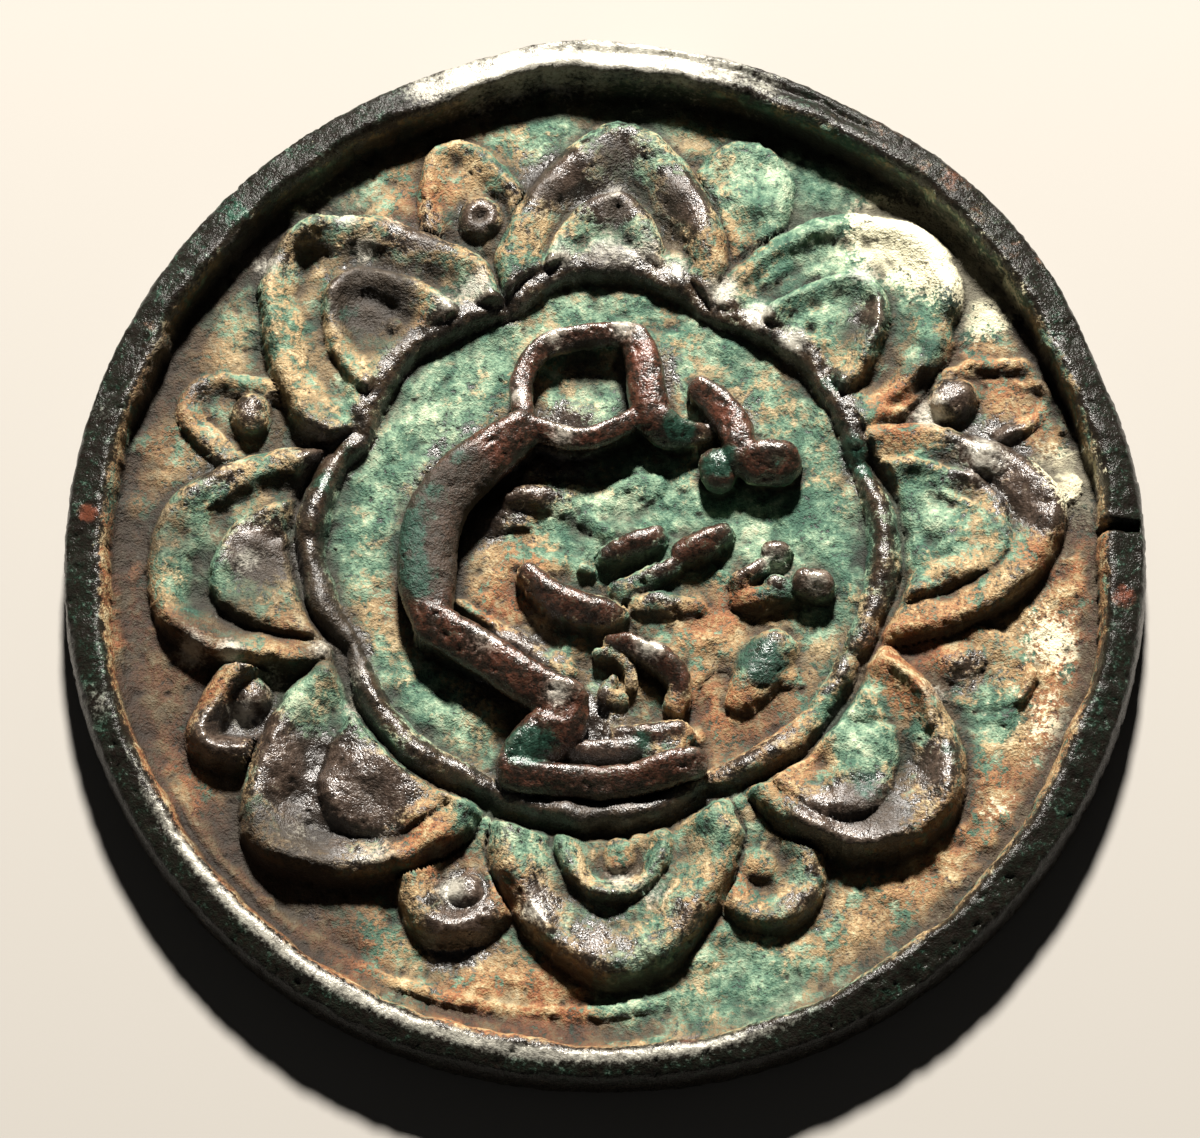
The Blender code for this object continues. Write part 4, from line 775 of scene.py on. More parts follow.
def frame_height(x, y):
    """The ridge frame: each lobe is an arc of its own that thins and dips towards its ends."""
    angle = np.degrees(np.arctan2(y, x))
    swell = np.zeros_like(x)
    for (start, _, _), (end, _, _) in zip(FRAME_LOBES, FRAME_LOBES[1:] + FRAME_LOBES[:1]):
        t = ((angle - start) % 360) / ((end - start) % 360)
        swell = np.maximum(swell, np.sin(np.pi * np.clip(t, 0, 1)) ** ARC_SWELL)
    gap = distance_to(x, y, frame_route())
    outside = np.hypot(x, y) / SHARE > frame_radius(angle)
    start, end, longer = FRAME_OUTER_SLOPE
    gap = np.where(outside, gap / (1 + longer * arc_window(angle, start, end, FRAME_SLOPE_FADE)), gap)
    worn = 1 + FRAME_WEAR * lumps(x, y, RIDGE_LUMP, RIDGE_SEED)
    worn = worn + 0.5 * FRAME_WEAR * lumps(x, y, FINE_RIDGE_LUMP, FINE_RIDGE_SEED)
    width = FRAME_RIDGE_WIDTH * (ARC_END_WIDTH + (1 - ARC_END_WIDTH) * swell) * worn
    height = FRAME_RIDGE_HEIGHT * (ARC_END_HEIGHT + (1 - ARC_END_HEIGHT) * swell) * worn
    return height * np.clip(1 - (2 * gap / width) ** 2, 0, 1) ** ARC_ROUNDING


def edge_shift(angle):
    """How far the worn edge lies outside its circle."""
    shift = np.zeros_like(angle)
    for middle, spread, distance in EDGE_FAULTS:
        turn = (angle - middle + 180) % 360 - 180
        shift += distance * np.exp(-(turn / spread) ** 2)
    return shift


def arc_window(angle, start, end, fade=8.0):
    """One between two angles, fading at both ends."""
    angle = (angle - start) % 360
    return smooth(angle / fade) * smooth((end - start - angle) / fade)


def rim_height(x, y):
    """The rim: a steep inner wall, a crest near it and a bevel outwards, with wear and a crack."""
    radius = np.hypot(x, y)
    angle = np.degrees(np.arctan2(y, x))
    arc = np.radians(angle) * DISC_RADIUS
    worn = sum(distance * lumps(arc, 0 * arc, size, seed) for size, distance, seed in CREST_WANDER)
    radius = radius - edge_shift(angle) * smooth((radius - FIELD_RADIUS) / RIM_WIDTH + 1) - worn
    inwards = np.clip((CREST_RADIUS - radius) / WALL_WIDTH, 0, 1)
    outwards = np.clip((radius - CREST_RADIUS) / (DISC_RADIUS - CREST_RADIUS), 0, 1)
    dents = sum((share * lumps(arc, radius, size, seed) for size, share, seed in RIM_DENTS), 1)
    far, high = BEAD_ROUNDING
    bead = (RIM_RISE * (1 - inwards ** far) ** high - BEVEL_FALL * outwards ** BEVEL_ROUNDING) * dents
    start, end, least, fade = GENTLE_WALL
    gentle = least + (1 - least) * arc_window(angle, start, end, fade)
    slope = np.clip(1 - (CREST_RADIUS - radius) / (RIM_FILLET * gentle), 0, 1)
    fillet = CORNER_SHARE * gentle * RIM_RISE * slope ** 2
    fillet = np.where(radius < CREST_RADIUS, fillet, 0.0)
    start, end, inner, length, width, depth = WALL_STREAKS
    fade, inner_fade, outer_fade = STREAK_FADE
    streaks = depth * lumps(arc, radius * length / width, length, STREAK_SEED)
    streaks = streaks * arc_window(angle, start, end, fade) * smooth((radius / SHARE - inner) / inner_fade)
    fillet = fillet + streaks * smooth((CREST_RADIUS - radius) / outer_fade)
    from_crack = (angle - CRACK_ANGLE) * np.pi / 180 * radius
    crack = CRACK_DEPTH * np.exp(-(2 * from_crack / CRACK_WIDTH) ** 2)
    start, end, away, width, depth = SECOND_LIP
    groove = depth * np.exp(-((radius - CREST_RADIUS - away) / width) ** 2) * arc_window(angle, start, end)
    return np.maximum(bead, fillet) - np.minimum(crack, np.maximum(bead, 0)) - groove


def raised(x, y, rows, narrow=1.0, flat_top=False):
    """Height over the ground of a rounded limb, or of the web under it."""
    top = np.zeros_like(x)
    route = smooth_route(rows, ROUTE_STEPS) * np.array([SHARE, SHARE, FIGURE_RISE, FIGURE_RISE])
    window = near(x, y, route, route[:, 3].max())
    x, y = x[window], y[window]
    highest = np.zeros_like(x)
    for start, end in zip(route[:-1], route[1:]):
        gap, t = along(x, y, start, end)
        middle = start[2] + (end[2] - start[2]) * t
        radius = (start[3] + (end[3] - start[3]) * t) * narrow
        above = np.clip((y - start[1] - (end[1] - start[1]) * t) / radius, -1, 1)
        round_top = np.sqrt(np.clip(radius ** 2 - gap ** 2, 0, None)) * (1 + LEAF_SLANT * above)
        height = middle if flat_top else middle + round_top
        highest = np.maximum(highest, np.where(gap < radius, height, 0.0))
    top[window] = highest
    return top


def relief(x, y):
    """Height of the cast back over the underside."""
    ground = sum(depth * lumps(x, y, size, GROUND_SEED + place)
                 for place, (size, depth) in enumerate(GROUND_LUMPS))
    for place, (size, distance) in enumerate(WANDER):
        x = x + distance * lumps(x, y, size, WANDER_SEED_X + place)
        y = y + distance * lumps(x, y, size, WANDER_SEED_Y + place)
    radius, angle = np.hypot(x, y), np.degrees(np.arctan2(y, x))
    start, end, inner, depth = TROUGH
    fade, inner_fade = TROUGH_FADE
    trough = depth * arc_window(angle, start, end, fade) * smooth((radius / SHARE - inner) / inner_fade)
    back = np.zeros_like(x)
    for row in BACK_PETALS.values():
        back = np.maximum(back, petal_height(x, y, row, PETAL_RISE))
    front = np.zeros_like(x)
    for name, row in PETALS.items():
        petal = petal_height(x, y, row, PETAL_RISE)
        leaf = petal_height(x, y, LEAVES[name], LEAF_RISE)
        front = np.maximum(front, petal + leaf)
    back = back * (1 - smooth(front / COVERS_BACK))
    start, end, _ = FRAME_OUTER_SLOPE
    groove = FRAME_GROOVE * (1 - arc_window(angle, start, end, FRAME_SLOPE_FADE))
    outside_frame = smooth((radius / SHARE - frame_radius(angle) - groove + GROOVE_START) / GROOVE_FADE)
    height = soft_max(back, front, FILLET) * outside_frame
    for boss in BOSSES:
        height = soft_max(height, boss_height(x, y, *boss), FILLET)
    height = soft_max(height, frame_height(x, y), FILLET)
    string = np.array([at(*place) for place in smooth_route(STRING_RIDGE, STRING_STEPS)])
    height = soft_max(height, ridge_height(x, y, string, STRING_RIDGE_WIDTH, STRING_RIDGE_HEIGHT), FILLET)
    for rows, width, depth in CARVING.values():
        height = height + carved(x, y, rows, width * CARVING_REACH / 1000, depth / 1000)
    for place_x, place_y, radius, rise in LUMPS:
        height = height + rise / 1000 * spot(x, y, place_x, place_y, radius)
    for rows in FOLIAGE:
        height = soft_max(height, raised(x, y, rows), LEAF_FILLET)
    for rows in WEBBED:
        height = soft_max(height, raised(x, y, rows, WEB_SHARE, flat_top=True), FILLET)
    for place_x, place_y, radius, depth in HOLLOWS:
        height = height - depth / 1000 * spot(x, y, place_x, place_y, radius)
    height = height + (ground - trough) * (1 - SMOOTH_TOPS * smooth(height / PETAL_RISE))
    height = soft_max(height, rim_height(x, y), RIM_FOOT_FILLET)
    return PLATE_THICKNESS + height


def disc_from_square(u, v):
    """Even rings and spokes from a square grid of -1 to 1: radius from 0 to 1, and angle."""
    wide = np.abs(u) >= np.abs(v)
    radius = np.where(wide, np.abs(u), np.abs(v))
    safe = np.where(radius > 0, radius, 1.0)
    flat = np.where(u >= 0, v / safe * 45, 180 - v / safe * 45)
    steep = np.where(v >= 0, 90 - u / safe * 45, 270 + u / safe * 45)
    return radius, np.where(wide, flat, steep)


def square_from_disc(x, y):
    """The place in the square grid, from -1 to 1, of a point on the disc."""
    radius = np.clip(np.hypot(x, y) / TOP_RADIUS, 0, 1)
    angle = np.degrees(np.arctan2(y, x)) % 360
    quarter = np.floor((angle + 45) / 90) % 4
    slant = ((angle + 45) % 90 - 45) / 45 * radius
    u = np.choose(quarter.astype(int), [radius, -slant, -radius, slant])
    v = np.choose(quarter.astype(int), [slant, radius, -slant, -radius])
    return u, v


def read_points(mesh):
    """The mesh's vertices, one in each row."""
    points = np.empty(len(mesh.vertices) * 3)
    mesh.vertices.foreach_get("co", points)
    return points.reshape(-1, 3)


def make_plate():
    """The mirror's disc: relief on top, rounded outer side and flat reflecting face below."""
    bpy.ops.mesh.primitive_grid_add(x_subdivisions=GRID_SIDE, y_subdivisions=GRID_SIDE, size=2)
    plate = bpy.context.object
    mesh = plate.data
    points = read_points(mesh)
    ring, angle = disc_from_square(points[:, 0], points[:, 1])
    turn = np.radians(angle)
    reach = ring * TOP_RADIUS + edge_shift(angle) * smooth((ring - WEAR_START) * 10)
    points[:, 0] = reach * np.cos(turn)
    points[:, 1] = reach * np.sin(turn)
    points[:, 2] = relief(points[:, 0], points[:, 1])
    mesh.vertices.foreach_set("co", points.ravel())

    form = bmesh.new()
    form.from_mesh(mesh)
    border = [edge for edge in form.edges if edge.is_boundary]
    widest = DISC_RADIUS - TOP_RADIUS
    shoulder = float(np.mean([corner.co.z for edge in border for corner in edge.verts]))
    upper = [(share, OUTER_BULGE + (shoulder - OUTER_BULGE) * share) for share in UPPER_STEPS]
    lower = [(share, OUTER_BULGE * (1 - share)) for share in LOWER_STEPS]
    for share, height in upper + lower:
        out = widest * (1 - share ** 2) ** 0.5 if height > OUTER_BULGE else widest - UNDERCUT * share ** 2
        grown = bmesh.ops.extrude_edge_only(form, edges=border)["geom"]
        border = [part for part in grown if isinstance(part, bmesh.types.BMEdge)]
        corners = [part for part in grown if isinstance(part, bmesh.types.BMVert)]
        for corner in corners:
            angle = np.degrees(np.arctan2(corner.co.y, corner.co.x))
            reach = TOP_RADIUS + out + float(edge_shift(np.array([angle]))[0])
            corner.co.x = reach * np.cos(np.radians(angle))
            corner.co.y = reach * np.sin(np.radians(angle))
            corner.co.z = height
    bmesh.ops.contextual_create(form, geom=border)
    bmesh.ops.recalc_face_normals(form, faces=form.faces)
    form.to_mesh(mesh)
    form.free()
    return plate, points[:, 2].copy()


def limb_rings(rows):
    """Rings of points along a limb: a squarish section, higher at its upper edge, and rounded ends."""
    route = smooth_route(rows, LIMB_STEPS) * np.array([SHARE, SHARE, FIGURE_RISE, FIGURE_RISE])
    route[:, 2] += PLATE_THICKNESS
    runs = np.gradient(route[:, :3], axis=0)
    runs /= np.linalg.norm(runs, axis=1)[:, None]
    stations = [(point[:3], point[3], run) for point, run in zip(route, runs)]
    for share in END_STEPS:
        swell = (1 - share ** 2) ** 0.5
        first, last = route[0], route[-1]
        stations.insert(0, (first[:3] - runs[0] * first[3] * share, first[3] * swell, runs[0]))
        stations.append((last[:3] + runs[-1] * last[3] * share, last[3] * swell, runs[-1]))
    turn = np.linspace(0, 2 * np.pi, LIMB_SIDES, endpoint=False)
    across = np.sign(np.cos(turn)) * np.abs(np.cos(turn)) ** LIMB_SQUARENESS
    up = np.sign(np.sin(turn)) * np.abs(np.sin(turn)) ** LIMB_SQUARENESS
    rings = []
    for middle, radius, run in stations:
        side = np.cross((0, 0, 1), run)
        side /= np.linalg.norm(side)
        over = np.cross(run, side)
        wedge = np.where(up > 0, up * (1 + LIMB_SLANT * side[1] * across), up)
        ring = middle + radius * (across[:, None] * side + wedge[:, None] * over)
        rings.append(ring)
    return rings


def make_limb(rows):
    """One closed limb of the figure, skinned over its rings."""
    rings = limb_rings(rows)
    form = bmesh.new()
    loops = [[form.verts.new(point) for point in ring] for ring in rings]
    for here, there in zip(loops[:-1], loops[1:]):
        for side in range(LIMB_SIDES):
            after = (side + 1) % LIMB_SIDES
            form.faces.new((here[side], here[after], there[after], there[side]))
    form.faces.new(loops[0])
    form.faces.new(loops[-1])
    bmesh.ops.recalc_face_normals(form, faces=form.faces)
    mesh = bpy.data.meshes.new("limb")
    form.to_mesh(mesh)
    form.free()
    limb = bpy.data.objects.new("limb", mesh)
    bpy.context.scene.collection.objects.link(limb)
    return limb


def join(objects):
    bpy.ops.object.select_all(action="DESELECT")
    for obj in objects:
        obj.select_set(True)
    bpy.context.view_layer.objects.active = objects[0]
    bpy.ops.object.join()
    return bpy.context.object


def bake(obj):
    """Replace an object's mesh by what its modifiers make of it."""
    graph = bpy.context.evaluated_depsgraph_get()
    mesh = bpy.data.meshes.new_from_object(obj.evaluated_get(graph))
    obj.modifiers.clear()
    obj.data = mesh


def make_figure():
    """The free-standing limbs, grown together as the casting has them."""
    figure = join([make_limb(rows) for rows in FREE_LIMBS])
    remesh = figure.modifiers.new("grow together", "REMESH")
    remesh.mode = "VOXEL"
    remesh.voxel_size = FIGURE_VOXEL
    ease = figure.modifiers.new("ease", "SMOOTH")
    ease.factor = 0.5
    ease.iterations = 2
    bake(figure)
    return figure


def cast_together(plate, figure):
    """Join the figure to the plate as one skin."""
    union = plate.modifiers.new("cast in one", "BOOLEAN")
    union.operation = "UNION"
    union.solver = "EXACT"
    union.object = figure
    bake(plate)
    bpy.data.objects.remove(figure, do_unlink=True)


def thin_out(obj, faces):
    """Fewer triangles where the surface is plain."""
    triangles = sum(len(polygon.vertices) - 2 for polygon in obj.data.polygons)
    decimate = obj.modifiers.new("thin out", "DECIMATE")
    decimate.ratio = min(1.0, faces / triangles)
    decimate.use_collapse_triangulate = True
    bake(obj)


def drop_stray_faces(obj):
    """Keep the one closed skin: joining and thinning leave a few fins and specks beside it."""
    form = bmesh.new()
    form.from_mesh(obj.data)
    groups, seen = [], set()
    for first in form.faces:
        if first in seen:
            continue
        seen.add(first)
        group, waiting = [], [first]
        while waiting:
            face = waiting.pop()
            group.append(face)
            closed = [edge for edge in face.edges if len(edge.link_faces) == 2]
            beside = {other for edge in closed for other in edge.link_faces}
            waiting += beside - seen
            seen |= beside
        groups.append(group)
    skin = set(max(groups, key=len))
    stray = [face for face in form.faces if face not in skin]
    print(obj.name, "stray faces dropped", len(stray))
    bmesh.ops.delete(form, geom=stray, context="FACES")
    form.to_mesh(obj.data)
    form.free()


def new_node(tree, kind, inputs=None, **settings):
    """Add a node; an input takes a value or another node's output."""
    made = tree.nodes.new(kind)
    for name, value in settings.items():
        setattr(made, name, value)
    for name, value in (inputs or {}).items():
        socket = made.inputs[name]
        if isinstance(value, bpy.types.NodeSocket):
            tree.links.new(value, socket)
        else:
            socket.default_value = value
    return made


def maths(tree, operation, first, second=0.0):
    return new_node(tree, "ShaderNodeMath", {0: first, 1: second}, operation=operation).outputs[0]


def casting_skin_tree(material):
    """Geometry nodes: the surface moves along its normal by lumps, grain and pits."""
    tree = bpy.data.node_groups.new("casting skin", "GeometryNodeTree")
    face = tree.interface
    face.new_socket("Geometry", in_out="INPUT", socket_type="NodeSocketGeometry")
    for name, value in SKIN.items():
        socket = face.new_socket(name, in_out="INPUT", socket_type="NodeSocketFloat")
        socket.default_value = value
    face.new_socket("Geometry", in_out="OUTPUT", socket_type="NodeSocketGeometry")
    given = tree.nodes.new("NodeGroupInput").outputs
    place = tree.nodes.new("GeometryNodeInputPosition").outputs[0]
    mask = new_node(tree, "GeometryNodeInputNamedAttribute", {"Name": "skin"}, data_type="FLOAT").outputs[0]
    total = 0.0
    for part, detail in SKIN_DETAIL.items():
        scale = maths(tree, "DIVIDE", 1.0, given[part + " Size"])
        spread = new_node(tree, "ShaderNodeTexNoise", {"Vector": place, "Scale": scale, "Detail": detail})
        centred = maths(tree, "SUBTRACT", spread.outputs[0], 0.5)
        total = maths(tree, "ADD", total, maths(tree, "MULTIPLY", centred, given[part + " Height"]))
    scale = maths(tree, "DIVIDE", 1.0, given["Pit Size"])
    spread = new_node(tree, "ShaderNodeTexNoise", {"Vector": place, "Scale": scale, "Detail": 1.0})
    low, high = PIT_EDGE
    inputs = {"Value": spread.outputs[0], "From Min": low, "From Max": high, "To Min": 0.0, "To Max": 1.0}
    pit = new_node(tree, "ShaderNodeMapRange", inputs)
    total = maths(tree, "SUBTRACT", total, maths(tree, "MULTIPLY", pit.outputs[0], given["Pit Depth"]))
    total = maths(tree, "MULTIPLY", total, mask)
    normal = tree.nodes.new("GeometryNodeInputNormal").outputs[0]
    shift = new_node(tree, "ShaderNodeVectorMath", {0: normal, "Scale": total}, operation="SCALE")
    moved = new_node(tree, "GeometryNodeSetPosition",
                     {"Geometry": given["Geometry"], "Offset": shift.outputs[0]})
    real = new_node(tree, "GeometryNodeRealizeInstances", {"Geometry": moved.outputs[0]})
    dressed = new_node(tree, "GeometryNodeSetMaterial", {"Geometry": real.outputs[0], "Material": material})
    tree.links.new(dressed.outputs[0], tree.nodes.new("NodeGroupOutput").inputs[0])
    return tree


def store(mesh, name, values):
    """Keep one number for each vertex."""
    column = mesh.attributes.get(name) or mesh.attributes.new(name, "FLOAT", "POINT")
    column.data.foreach_set("value", np.asarray(values, dtype=np.float32))


def give_skin(obj, material):
    """Grow the rough skin of the casting; the reflecting face stays flat."""
    points = read_points(obj.data)
    store(obj.data, "skin", rising(points[:, 2], *SKIN_START))
    tree = casting_skin_tree(material)
    modifier = obj.modifiers.new("casting skin", "NODES")
    modifier.node_group = tree
    for socket in tree.interface.items_tree:
        if socket.in_out == "INPUT" and socket.name in SKIN:
            modifier[socket.identifier] = SKIN[socket.name]
    bake(obj)
    bpy.data.node_groups.remove(tree)


def read_normals(mesh):
    normals = np.empty(len(mesh.vertices) * 3)
    mesh.vertices.foreach_get("normal", normals)
    return normals.reshape(-1, 3)


def neighbours_mean(ends, count, values):
    """For each vertex, the mean of a value over its neighbours."""
    one, other = ends.T
    total = np.bincount(one, values[other], count) + np.bincount(other, values[one], count)
    links = np.bincount(ends.ravel(), minlength=count)
    return total / np.maximum(links, 1)


def sharpness(mesh, rounds, scale):
    """How convex the surface is at each vertex, from -1 in a groove to 1 on an edge."""
    points = read_points(mesh)
    count = len(points)
    ends = np.empty(len(mesh.edges) * 2, dtype=np.int32)
    mesh.edges.foreach_get("vertices", ends)
    ends = ends.reshape(-1, 2)
    normals = read_normals(mesh)
    run = points[ends[:, 1]] - points[ends[:, 0]]
    length = np.maximum((run ** 2).sum(1), 1e-12)
    bend = (np.bincount(ends[:, 0], -(run * normals[ends[:, 0]]).sum(1) / length, count)
            + np.bincount(ends[:, 1], (run * normals[ends[:, 1]]).sum(1) / length, count))
    bend /= np.maximum(np.bincount(ends.ravel(), minlength=count), 1)
    for _ in range(rounds):
        bend = (1 - EASING) * bend + EASING * neighbours_mean(ends, count, bend)
    return np.clip(bend * scale, -1, 1)


def spread_out(heights, cells):
    """A height map blurred over the given number of cells, three times over."""
    for _ in range(3):
        for axis in (0, 1):
            margins = [(cells, cells) if side == axis else (0, 0) for side in (0, 1)]
            padded = np.pad(heights, margins, mode="edge")
            total = np.cumsum(np.insert(padded, 0, 0.0, axis=axis), axis=axis)
            width = 2 * cells + 1
            if axis == 0:
                heights = (total[width:] - total[:-width]) / width
            else:
                heights = (total[:, width:] - total[:, :-width]) / width
    return heights


def read_map(heights, x, y):
    """The height map's values at points on the disc."""
    u, v = square_from_disc(x, y)
    side = heights.shape[0] - 1
    column = np.clip((u + 1) / 2 * side, 0, side - 0.001)
    row = np.clip((v + 1) / 2 * side, 0, side - 0.001)
    i, j = row.astype(int), column.astype(int)
    down, right = row - i, column - j
    low = heights[i, j] * (1 - right) + heights[i, j + 1] * right
    high = heights[i + 1, j] * (1 - right) + heights[i + 1, j + 1] * right
    return low * (1 - down) + high * down


def patches(kind, x, y):
    """How strongly one kind of deposit, painted shade or painted highlight lies at each point, from the
    places where it shows.
    """
    return sum(strength * spot(x, y, place_x, place_y, radius)
               for place_x, place_y, radius, strength in PATINA[kind])


def on_arc(angle, start, end, fade, strength):
    """The strength between two angles, fading at both ends."""
    return strength * arc_window(angle, start, end, fade)


def lay_patina(obj, plate_heights):
    """Numbers for the patina: edges, folds and hollows of the shape, the places of the deposits, and where
    shade and highlights are painted.
    """
    mesh = obj.data
    x, y, z = read_points(mesh).T
    radius, angle = np.hypot(x, y), np.degrees(np.arctan2(y, x))
    heights = plate_heights.reshape(GRID_SIDE + 1, GRID_SIDE + 1)
    broad = (z - read_map(spread_out(heights, BROAD_CELLS), x, y)) / BROAD_HEIGHT
    on_rim = rising(radius - FIELD_RADIUS, *RIM_FADE)
    inside = smooth((frame_radius(angle) - radius / SHARE) / INSIDE_FADE)
    from_crest = (CREST_RADIUS - radius) / CREST_HIGHLIGHT_WIDTH
    from_frame = distance_to(x, y, frame_route()) / (0.5 * FRAME_RIDGE_WIDTH)
    # Painted shadow of the upper rim on its inner wall
    painted_wall_shadow = rising(radius / SHARE, *PAINTED_WALL_SHADOW) * rising(CREST_RADIUS - radius, *PAINTED_WALL_SHADOW_END)
    rusty_wall = rising(radius / SHARE, *RUSTY_WALL) * (1 - on_rim)
    places = {kind: patches(kind, x, y) for kind in PATINA}
    fold = sharpness(mesh, *FOLD_READING)
    readings = {
        "edge": sharpness(mesh, *EDGE_READING),
        "ridge": FOLD_SHARE * fold + (1 - FOLD_SHARE) * np.clip(broad, -1, BROAD_MOST),
        "high": rising(z - PLATE_THICKNESS, *HIGH_FADE) * inside,
        "rim": on_rim,
        "frame": smooth(FRAME_REACH - from_frame) * (1 - on_arc(angle, *COATED_FRAME_ARC)),
        # Painted shade on surfaces that face away from the light
        "lee": rising(-read_normals(mesh)[:, 1], *AWAY_FROM_LIGHT_FADE) * (1 - on_rim),
        "rust": rusty_wall * on_arc(angle, *RUSTY_WALL_ARC),
        "soil": places["soil"] - GREEN_KEEPS_SOIL_OFF * places["malachite"],
        "copper": places["copper"] + on_rim * on_arc(angle, *COPPER_ARC),
        # Dirt and painted shade from the patches, with painted shadow on the upper inner wall
        "dirt": places["dirt"] * (1 - on_rim) + painted_wall_shadow * on_arc(angle, *PAINTED_WALL_SHADOW_ARC),
        # Painted highlights from the places, with a painted highlight line along the lower crest
        "polished": places["polished"] + np.exp(-from_crest ** 2) * on_arc(angle, *CREST_HIGHLIGHT_ARC),
    }
    for name in READINGS:
        store(mesh, name, readings.get(name, places.get(name)))


def noise(tree, place, size, detail, roughness, warp):
    """Noise from 0 to 1 whose spots are about as wide as the size in millimetres."""
    inputs = {"Vector": place, "Scale": 1.0 / size, "Detail": detail, "Roughness": roughness,
              "Distortion": warp}
    return new_node(tree, "ShaderNodeTexNoise", inputs).outputs[0]


def step_up(tree, value, low, high):
    """Nothing below the low value, all above the high one."""
    inputs = {"Value": value, "From Min": low, "From Max": high, "To Min": 0.0, "To Max": 1.0}
    return new_node(tree, "ShaderNodeMapRange", inputs, interpolation_type="SMOOTHSTEP").outputs[0]


def ramp(tree, value, stops):
    """Colours that follow a value, each at its own place."""
    made = new_node(tree, "ShaderNodeValToRGB", {"Fac": value})
    band = made.color_ramp
    while len(band.elements) < len(stops):
        band.elements.new(0.5)
    for element, (place, shade) in zip(band.elements, stops):
        element.position = place
        element.color = shade
    return made.outputs[0]


def over(tree, mask, below, above):
    """One colour laid over another where the mask is."""
    return new_node(tree, "ShaderNodeMix", {0: mask, 6: below, 7: above}, data_type="RGBA").outputs[2]


def between(tree, mask, below, above):
    """One number that gives way to another where the mask is."""
    return new_node(tree, "ShaderNodeMix", {0: mask, 2: below, 3: above}, data_type="FLOAT").outputs[0]


def attribute(tree, name):
    """A number that lies on the mesh."""
    return new_node(tree, "ShaderNodeAttribute", attribute_name=name).outputs["Fac"]


def total_of(tree, given, parts):
    """The sum of named values, each times its factor."""
    total = 0.0
    for name, factor in parts:
        total = maths(tree, "ADD", total, maths(tree, "MULTIPLY", given[name], factor))
    return total


def patina_values(tree):
    """What the patina is mixed from: the mesh's numbers, and noise in millimetres."""
    object_place = tree.nodes.new("ShaderNodeTexCoord").outputs["Object"]
    scaled = new_node(tree, "ShaderNodeVectorMath", {0: object_place, "Scale": MILLIMETRES},
                      operation="SCALE")
    given = {name: attribute(tree, name) for name in READINGS}
    for name, (size, detail, roughness, warp) in SPOTS.items():
        given[name] = noise(tree, scaled.outputs[0], size, detail, roughness, warp)
    return given


def patina_material():
    """Dark cast bronze, coated with malachite and soil but for what stands out and is worn, with painted
    shade and painted highlights.
    """
    material = bpy.data.materials.new("patinated cast bronze")
    material.use_nodes = True
    tree = material.node_tree
    tree.nodes.clear()
    given = patina_values(tree)

    def times(first, second):
        return maths(tree, "MULTIPLY", first, second)

    def without(mask):
        return maths(tree, "SUBTRACT", 1.0, mask)

    def colour(name):
        parts, stops = COLOURS[name]
        return ramp(tree, total_of(tree, given, parts), stops)

    def layer(name):
        start, full, parts = LAYERS[name]
        return step_up(tree, total_of(tree, given, parts), start, full)

    def rough(name):
        return maths(tree, "ADD", times(given["speck"], SPECK_ROUGHNESS[name]), ROUGHNESS[name])

    high, rim = given["high"], given["rim"]
    shade = over(tree, high, colour("plate"), colour("limbs"))
    shade = over(tree, rim, shade, colour("rim"))
    shade = over(tree, times(layer("bare"), without(high)), shade, colour("bare"))
    shade = over(tree, layer("copper"), shade, colour("copper"))
    coat = layer("coat")
    shade = over(tree, coat, shade, over(tree, layer("soil"), colour("green"), colour("soil")))
    # Dirt and painted shade
    dirt = times(layer("dirt"), STRENGTH["dirt"])
    shade = over(tree, dirt, shade, DIRT_AND_SHADE_COLOUR)
    shade = over(tree, layer("dark green"), shade, colour("dark green"))
    pale = layer("pale")
    shade = over(tree, times(pale, STRENGTH["pale"]), shade, PALE_CRUST)
    # Painted shade, then dark flecks
    for name in ("painted_shade", "fleck"):
        shade = over(tree, times(layer(name), STRENGTH[name]), shade, PAINTED_SHADE_AND_FLECK_COLOUR)

    covered = maths(tree, "MAXIMUM", maths(tree, "MAXIMUM", coat, pale), dirt)
    free = without(covered)
    share_worn = maths(tree, "ADD", times(free, 1 - WORN_UNDER_COAT), WORN_UNDER_COAT)
    worn = times(layer("worn"), share_worn)
    # Worn bronze, also where highlights are painted, and then the painted highlights
    shade = over(tree, times(worn, STRENGTH["worn"]), shade, BRONZE_WORN_AND_HIGHLIGHT)
    shade = over(tree, times(layer("painted_shine"), STRENGTH["painted_shine"]), shade, PAINTED_HIGHLIGHT_COLOUR)

    rough_metal = between(tree, rim, between(tree, worn, rough("free"), ROUGHNESS["worn"]), rough("rim"))
    gloss = between(tree, rim, between(tree, free, GLOSS["coated"], GLOSS["free"]), GLOSS["rim"])
    strength = between(tree, free, BUMP_STRENGTH["coated"], BUMP_STRENGTH["free"])
    given["coat"] = coat
    bump = new_node(tree, "ShaderNodeBump", {
        "Height": total_of(tree, given, BUMP_MIX), "Distance": BUMP_HEIGHT,
        "Strength": between(tree, worn, strength, BUMP_STRENGTH["worn"])})
    surface = new_node(tree, "ShaderNodeBsdfPrincipled", {
        "Base Color": shade, "Metallic": times(free, FREE_METALLIC), "Normal": bump.outputs[0],
        "Roughness": between(tree, without(free), rough_metal, ROUGHNESS["coated"]),
        "Specular IOR Level": between(tree, worn, gloss, GLOSS["worn"])})
    new_node(tree, "ShaderNodeOutputMaterial", {"Surface": surface.outputs[0]})
    return material


def plain_material(name, shade, roughness):
    material = bpy.data.materials.new(name)
    material.use_nodes = True
    surface = material.node_tree.nodes["Principled BSDF"]
    surface.inputs["Base Color"].default_value = shade
    surface.inputs["Roughness"].default_value = roughness
    return material


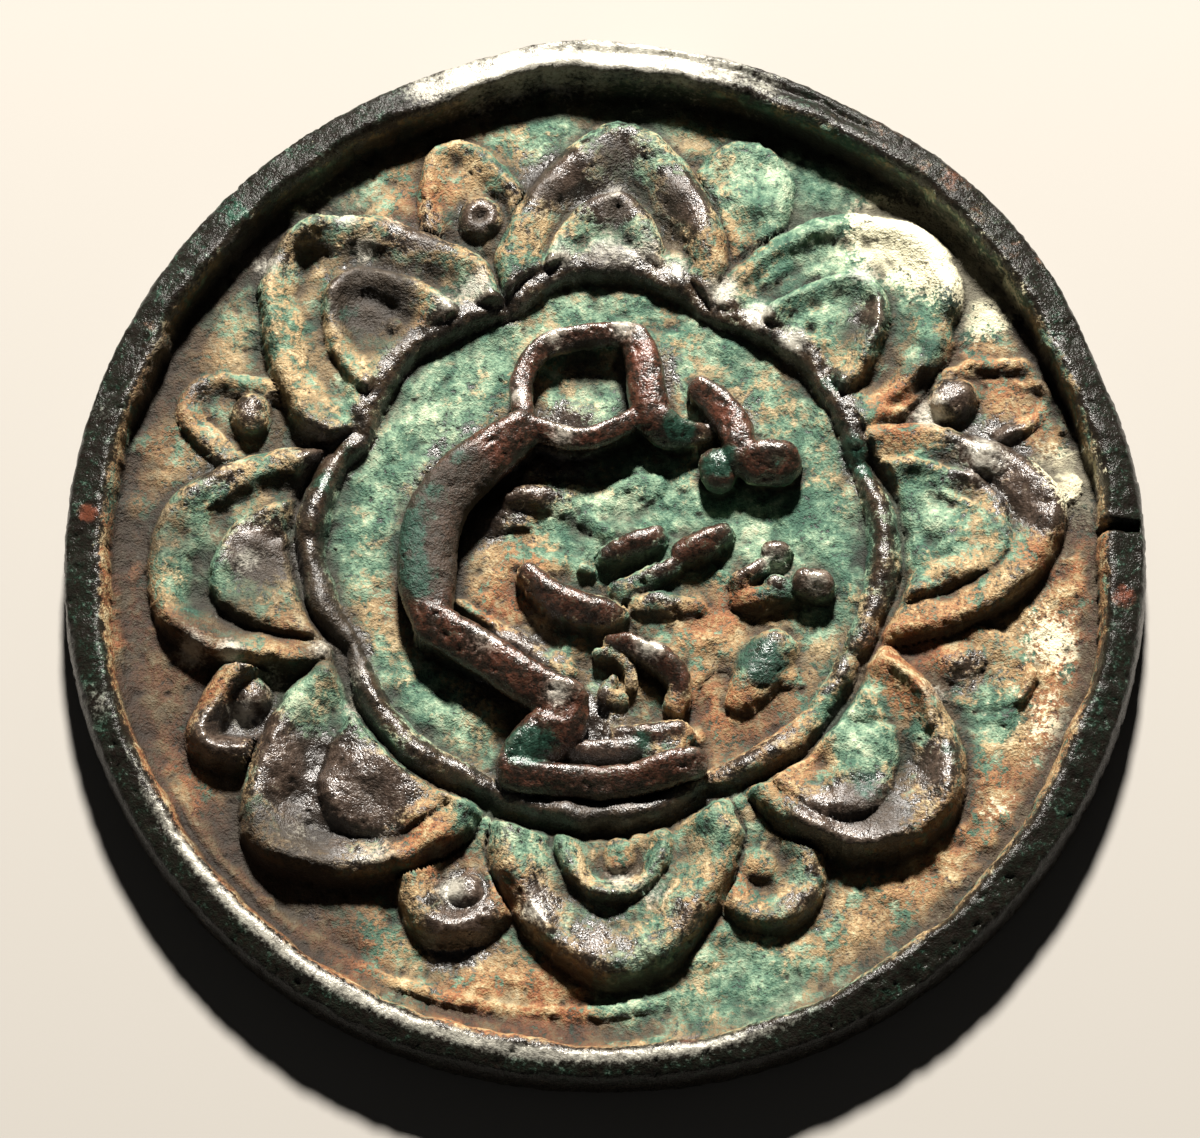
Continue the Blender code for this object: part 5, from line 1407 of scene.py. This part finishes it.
def check_closed(obj):
    """Say how many edges aren't shared by two faces."""
    form = bmesh.new()
    form.from_mesh(obj.data)
    open_edges = sum(not edge.is_manifold for edge in form.edges)
    print(obj.name, "faces", len(form.faces), "open edges", open_edges)
    form.free()


def make_mirror():
    """The whole casting: plate and figure in one, with its skin and its patina."""
    plate, plate_heights = make_plate()
    figure = make_figure()
    cast_together(plate, figure)
    material = patina_material()
    give_skin(plate, material)
    thin_out(plate, FACE_TARGET)
    drop_stray_faces(plate)
    points = read_points(plate.data)
    points[:, 2] = np.where(points[:, 2] < FLOOR_SNAP, 0.0, points[:, 2])
    plate.data.vertices.foreach_set("co", points.ravel())
    plate.data.shade_smooth()
    lay_patina(plate, plate_heights)
    plate.name = plate.data.name = "bronze_mirror"
    check_closed(plate)
    return plate


def make_floor():
    bpy.ops.mesh.primitive_plane_add(size=FLOOR_SIZE, location=(0, 0, -FLOOR_GAP))
    floor = bpy.context.object
    floor.name = floor.data.name = "floor"
    floor.data.materials.append(plain_material("plain paper", PAPER, PAPER_ROUGHNESS))
    return floor


def aim(obj, place, target, turned_from=Vector((0, 1, 0))):
    """Stand at a place and look at the target, with the picture's upper side towards +Y."""
    forward = (target - place).normalized()
    right = forward.cross(turned_from).normalized()
    upward = right.cross(forward)
    turn = Matrix((right, upward, -forward)).transposed().to_4x4()
    obj.matrix_world = Matrix.Translation(place) @ turn


def add_area_light(name, place, size, power, shade):
    light = bpy.data.lights.new(name, "AREA")
    light.shape = "DISK"
    light.size = size
    light.energy = power
    light.color = shade
    lamp = bpy.data.objects.new(name, light)
    bpy.context.scene.collection.objects.link(lamp)
    aim(lamp, Vector(place), Vector((0, 0, 0)), Vector((1, 0, 0)))


def light_scene():
    elevation = np.radians(KEY_ELEVATION)
    key = (KEY_SIDEWAYS, KEY_DISTANCE * np.cos(elevation), KEY_DISTANCE * np.sin(elevation))
    add_area_light("soft key light", key, KEY_SIZE, KEY_POWER, KEY_COLOUR)
    add_area_light("fill from the front", FILL_PLACE, FILL_SIZE, FILL_POWER, FILL_COLOUR)
    world = bpy.data.worlds.new("studio")
    world.use_nodes = True
    background = world.node_tree.nodes["Background"]
    background.inputs["Color"].default_value = WORLD_COLOUR
    background.inputs["Strength"].default_value = WORLD_STRENGTH
    bpy.context.scene.world = world
    bpy.context.scene.view_settings.view_transform = "Standard"


def add_camera():
    camera = bpy.data.cameras.new("camera")
    camera.lens = CAMERA_LENS
    camera.sensor_width = SENSOR_WIDTH
    camera.clip_start = CLIP_START
    holder = bpy.data.objects.new("camera", camera)
    bpy.context.scene.collection.objects.link(holder)
    target = Vector(CAMERA_TARGET)
    aim(holder, target + CAMERA_DISTANCE * Vector(CAMERA_SIDE).normalized(), target)
    bpy.context.scene.camera = holder


mirror = make_mirror()
floor = make_floor()
light_scene()
add_camera()
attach(mirror, "root")
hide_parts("mirror")
